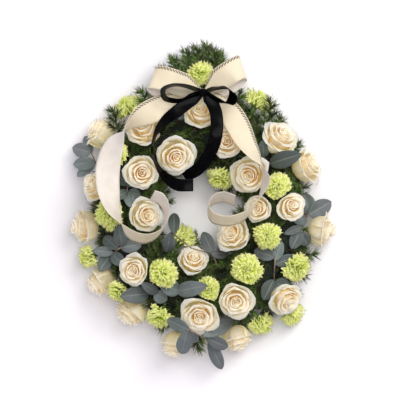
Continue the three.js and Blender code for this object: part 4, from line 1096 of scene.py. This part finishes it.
# Black bow: a narrower satin ribbon, 26 mm wide, tied over the cream one in two short loops and two
# tails that run down over the roses into the opening.
BLACK_WIDTH = 26
BLACK_THICKNESS = 0.5
BLACK_LOOPS = [
    [
        (-3, 256, 150, 0.1, -0.6, 0.8), (-30, 264, 174, 0, -0.35, 0.94),
        (-60, 266, 180, 0.1, -0.3, 0.95), (-78, 258, 178, 0.4, -0.1, 0.92),
        (-76, 242, 172, 0.3, 0.3, 0.9), (-52, 236, 166, 0.1, 0.3, 0.95),
        (-24, 244, 158, 0, 0.2, 0.98), (-3, 250, 150, 0, 0.5, 0.86),
    ],
    [
        (7, 256, 150, -0.1, -0.6, 0.8), (30, 262, 172, -0.1, -0.35, 0.93),
        (52, 262, 180, 0.3, -0.3, 0.9), (64, 248, 176, 0.6, -0.5, 0.6),
        (56, 230, 166, 0.6, -0.3, 0.7), (34, 236, 158, 0.1, 0.3, 0.95),
        (7, 250, 150, 0, 0.5, 0.86),
    ],
]
BLACK_TAILS = [
    [
        (-3, 250, 148, 0.4, -0.9, 0), (-24, 236, 150, 0.6, -0.8, 0),
        (-52, 214, 152, 0.65, -0.75, 0.1), (-80, 190, 154, 0.6, -0.4, 0.7),
        (-96, 162, 156, 0.3, -0.1, 0.95), (-101, 130, 155, 0.2, 0, 0.98),
        (-89, 98, 145, 0.3, 0.2, 0.93), (-72, 79, 121, 0.4, 0.6, 0.7),
        (-52, 65, 106, 0.1, 0.98, 0.2), (-18, 64, 102, 0, 1, 0),
    ],
    [
        (8, 250, 148, -0.8, -0.6, 0), (22, 230, 148, -0.95, -0.3, 0),
        (30, 204, 152, -1, -0.1, 0), (28, 160, 156, -0.95, 0.3, 0),
        (12, 122, 138, -0.85, 0.5, 0.1), (-12, 94, 112, -0.7, 0.7, 0.1),
        (-38, 82, 90, -0.5, 0.8, 0.3),
    ],
]
BLACK_KNOT = (2, 253, 149)
BLACK_KNOT_SIZE = (9, 9, 8)

satin_finish, tone, shader = new_finish("black_satin", {
    "IOR": 1.08, "Coat Weight": 0.05, "Coat Roughness": 0.14,
})
over = tone.attribute("over")
run = tone.attribute("run")
lustre = tone.noise(60.0, 3.0)
selvedge = 1 - (over - 0.5).maths("ABSOLUTE").clear(0.44, 0.475)
feed(lustre.clear(0.35, 0.7).tint(paint("#030304"), paint("#07070a")), shader, "Base Color")
feed(0.2 + selvedge * 0.08 + lustre * 0.1, shader, "Roughness")
threads = (run * 9).maths("SINE")
emboss(threads, 0.08, 0.0003, shader)

strips = [
    ribbon_strip(BLACK_LOOPS[0], BLACK_WIDTH, 0.6, 0.6, True, 0.9),
    ribbon_strip(BLACK_LOOPS[1], BLACK_WIDTH, 0.6, 0.6, False, 2.2),
    ribbon_strip(BLACK_TAILS[0], BLACK_WIDTH, 0.6, 1, True, 3.3),
    ribbon_strip(BLACK_TAILS[1], BLACK_WIDTH, 0.6, 1, False, 5.0),
]
black_length = sum(strip[4] for strip in strips)
black_ribbon = finish_ribbon(
    "black_bow", strips, [satin_finish], "black_ribbon", BLACK_THICKNESS,
)
black_knot = add_knot(
    "black_bow_knot", BLACK_KNOT, BLACK_KNOT_SIZE, 9, [satin_finish], "black_ribbon",
)
black_length / 1000

# Studio: a plain white table under a large soft light from the upper right, seen straight down.
LIGHT_AIM = (0, 0, 0.05)

bm = bmesh.new()
bmesh.ops.create_grid(bm, x_segments=1, y_segments=1, size=4)
floor_mesh = mesh_of("table", bm)
floor_finish, tone, shader = new_finish("table_white", {"Roughness": 0.9})
paper = tone.noise(3.0, 2.0)
feed(paper.clear(0.3, 0.7).tint(paint("#f8f8fa"), paint("#fbfbfc")), shader, "Base Color")
floor_mesh.materials.append(floor_finish)
table = bpy.data.objects.new("table", floor_mesh)
bpy.context.scene.collection.objects.link(table)
table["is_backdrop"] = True


def add_soft_light(name, place, size, power, colour):
    """A round soft light, turned to the wreath."""
    lamp = bpy.data.lights.new(name, "AREA")
    lamp.shape = "DISK"
    lamp.size = size
    lamp.energy = power
    lamp.color = colour
    light = bpy.data.objects.new(name, lamp)
    light.location = place
    light.rotation_euler = (Vector(LIGHT_AIM) - Vector(place)).to_track_quat("-Z", "Y").to_euler()
    bpy.context.scene.collection.objects.link(light)


add_soft_light("key", (1.0, 1.15, 2.3), 1.5, 38, (1.0, 0.985, 0.94))
add_soft_light("overhead", (0.2, 0.3, 3.2), 1.3, 28, (1.0, 0.985, 0.97))
add_soft_light("fill", (-1.7, -0.6, 2.3), 2.0, 6, (0.96, 0.95, 1.0))

world = bpy.data.worlds.new("studio")
world.use_nodes = True
world.node_tree.nodes["Background"].inputs["Color"].default_value = (0.93, 0.885, 1.0, 1.0)
world.node_tree.nodes["Background"].inputs["Strength"].default_value = 0.56
bpy.context.scene.world = world

CAMERA_HEIGHT = 5.0
SENSOR_WIDTH = 36
SEEN_WIDTH = 0.832  # of the level of the blooms, across the picture
BLOOM_LEVEL = 0.08
camera_data = bpy.data.cameras.new("camera")
camera_data.sensor_width = SENSOR_WIDTH
camera_data.lens = SENSOR_WIDTH * (CAMERA_HEIGHT - BLOOM_LEVEL) / SEEN_WIDTH
camera = bpy.data.objects.new("camera", camera_data)
camera.location = (ring_centre.x - 0.004, ring_centre.y + 0.033, CAMERA_HEIGHT)
bpy.context.scene.collection.objects.link(camera)
bpy.context.scene.camera = camera
bpy.context.scene.view_settings.view_transform = "Standard"

low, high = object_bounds()
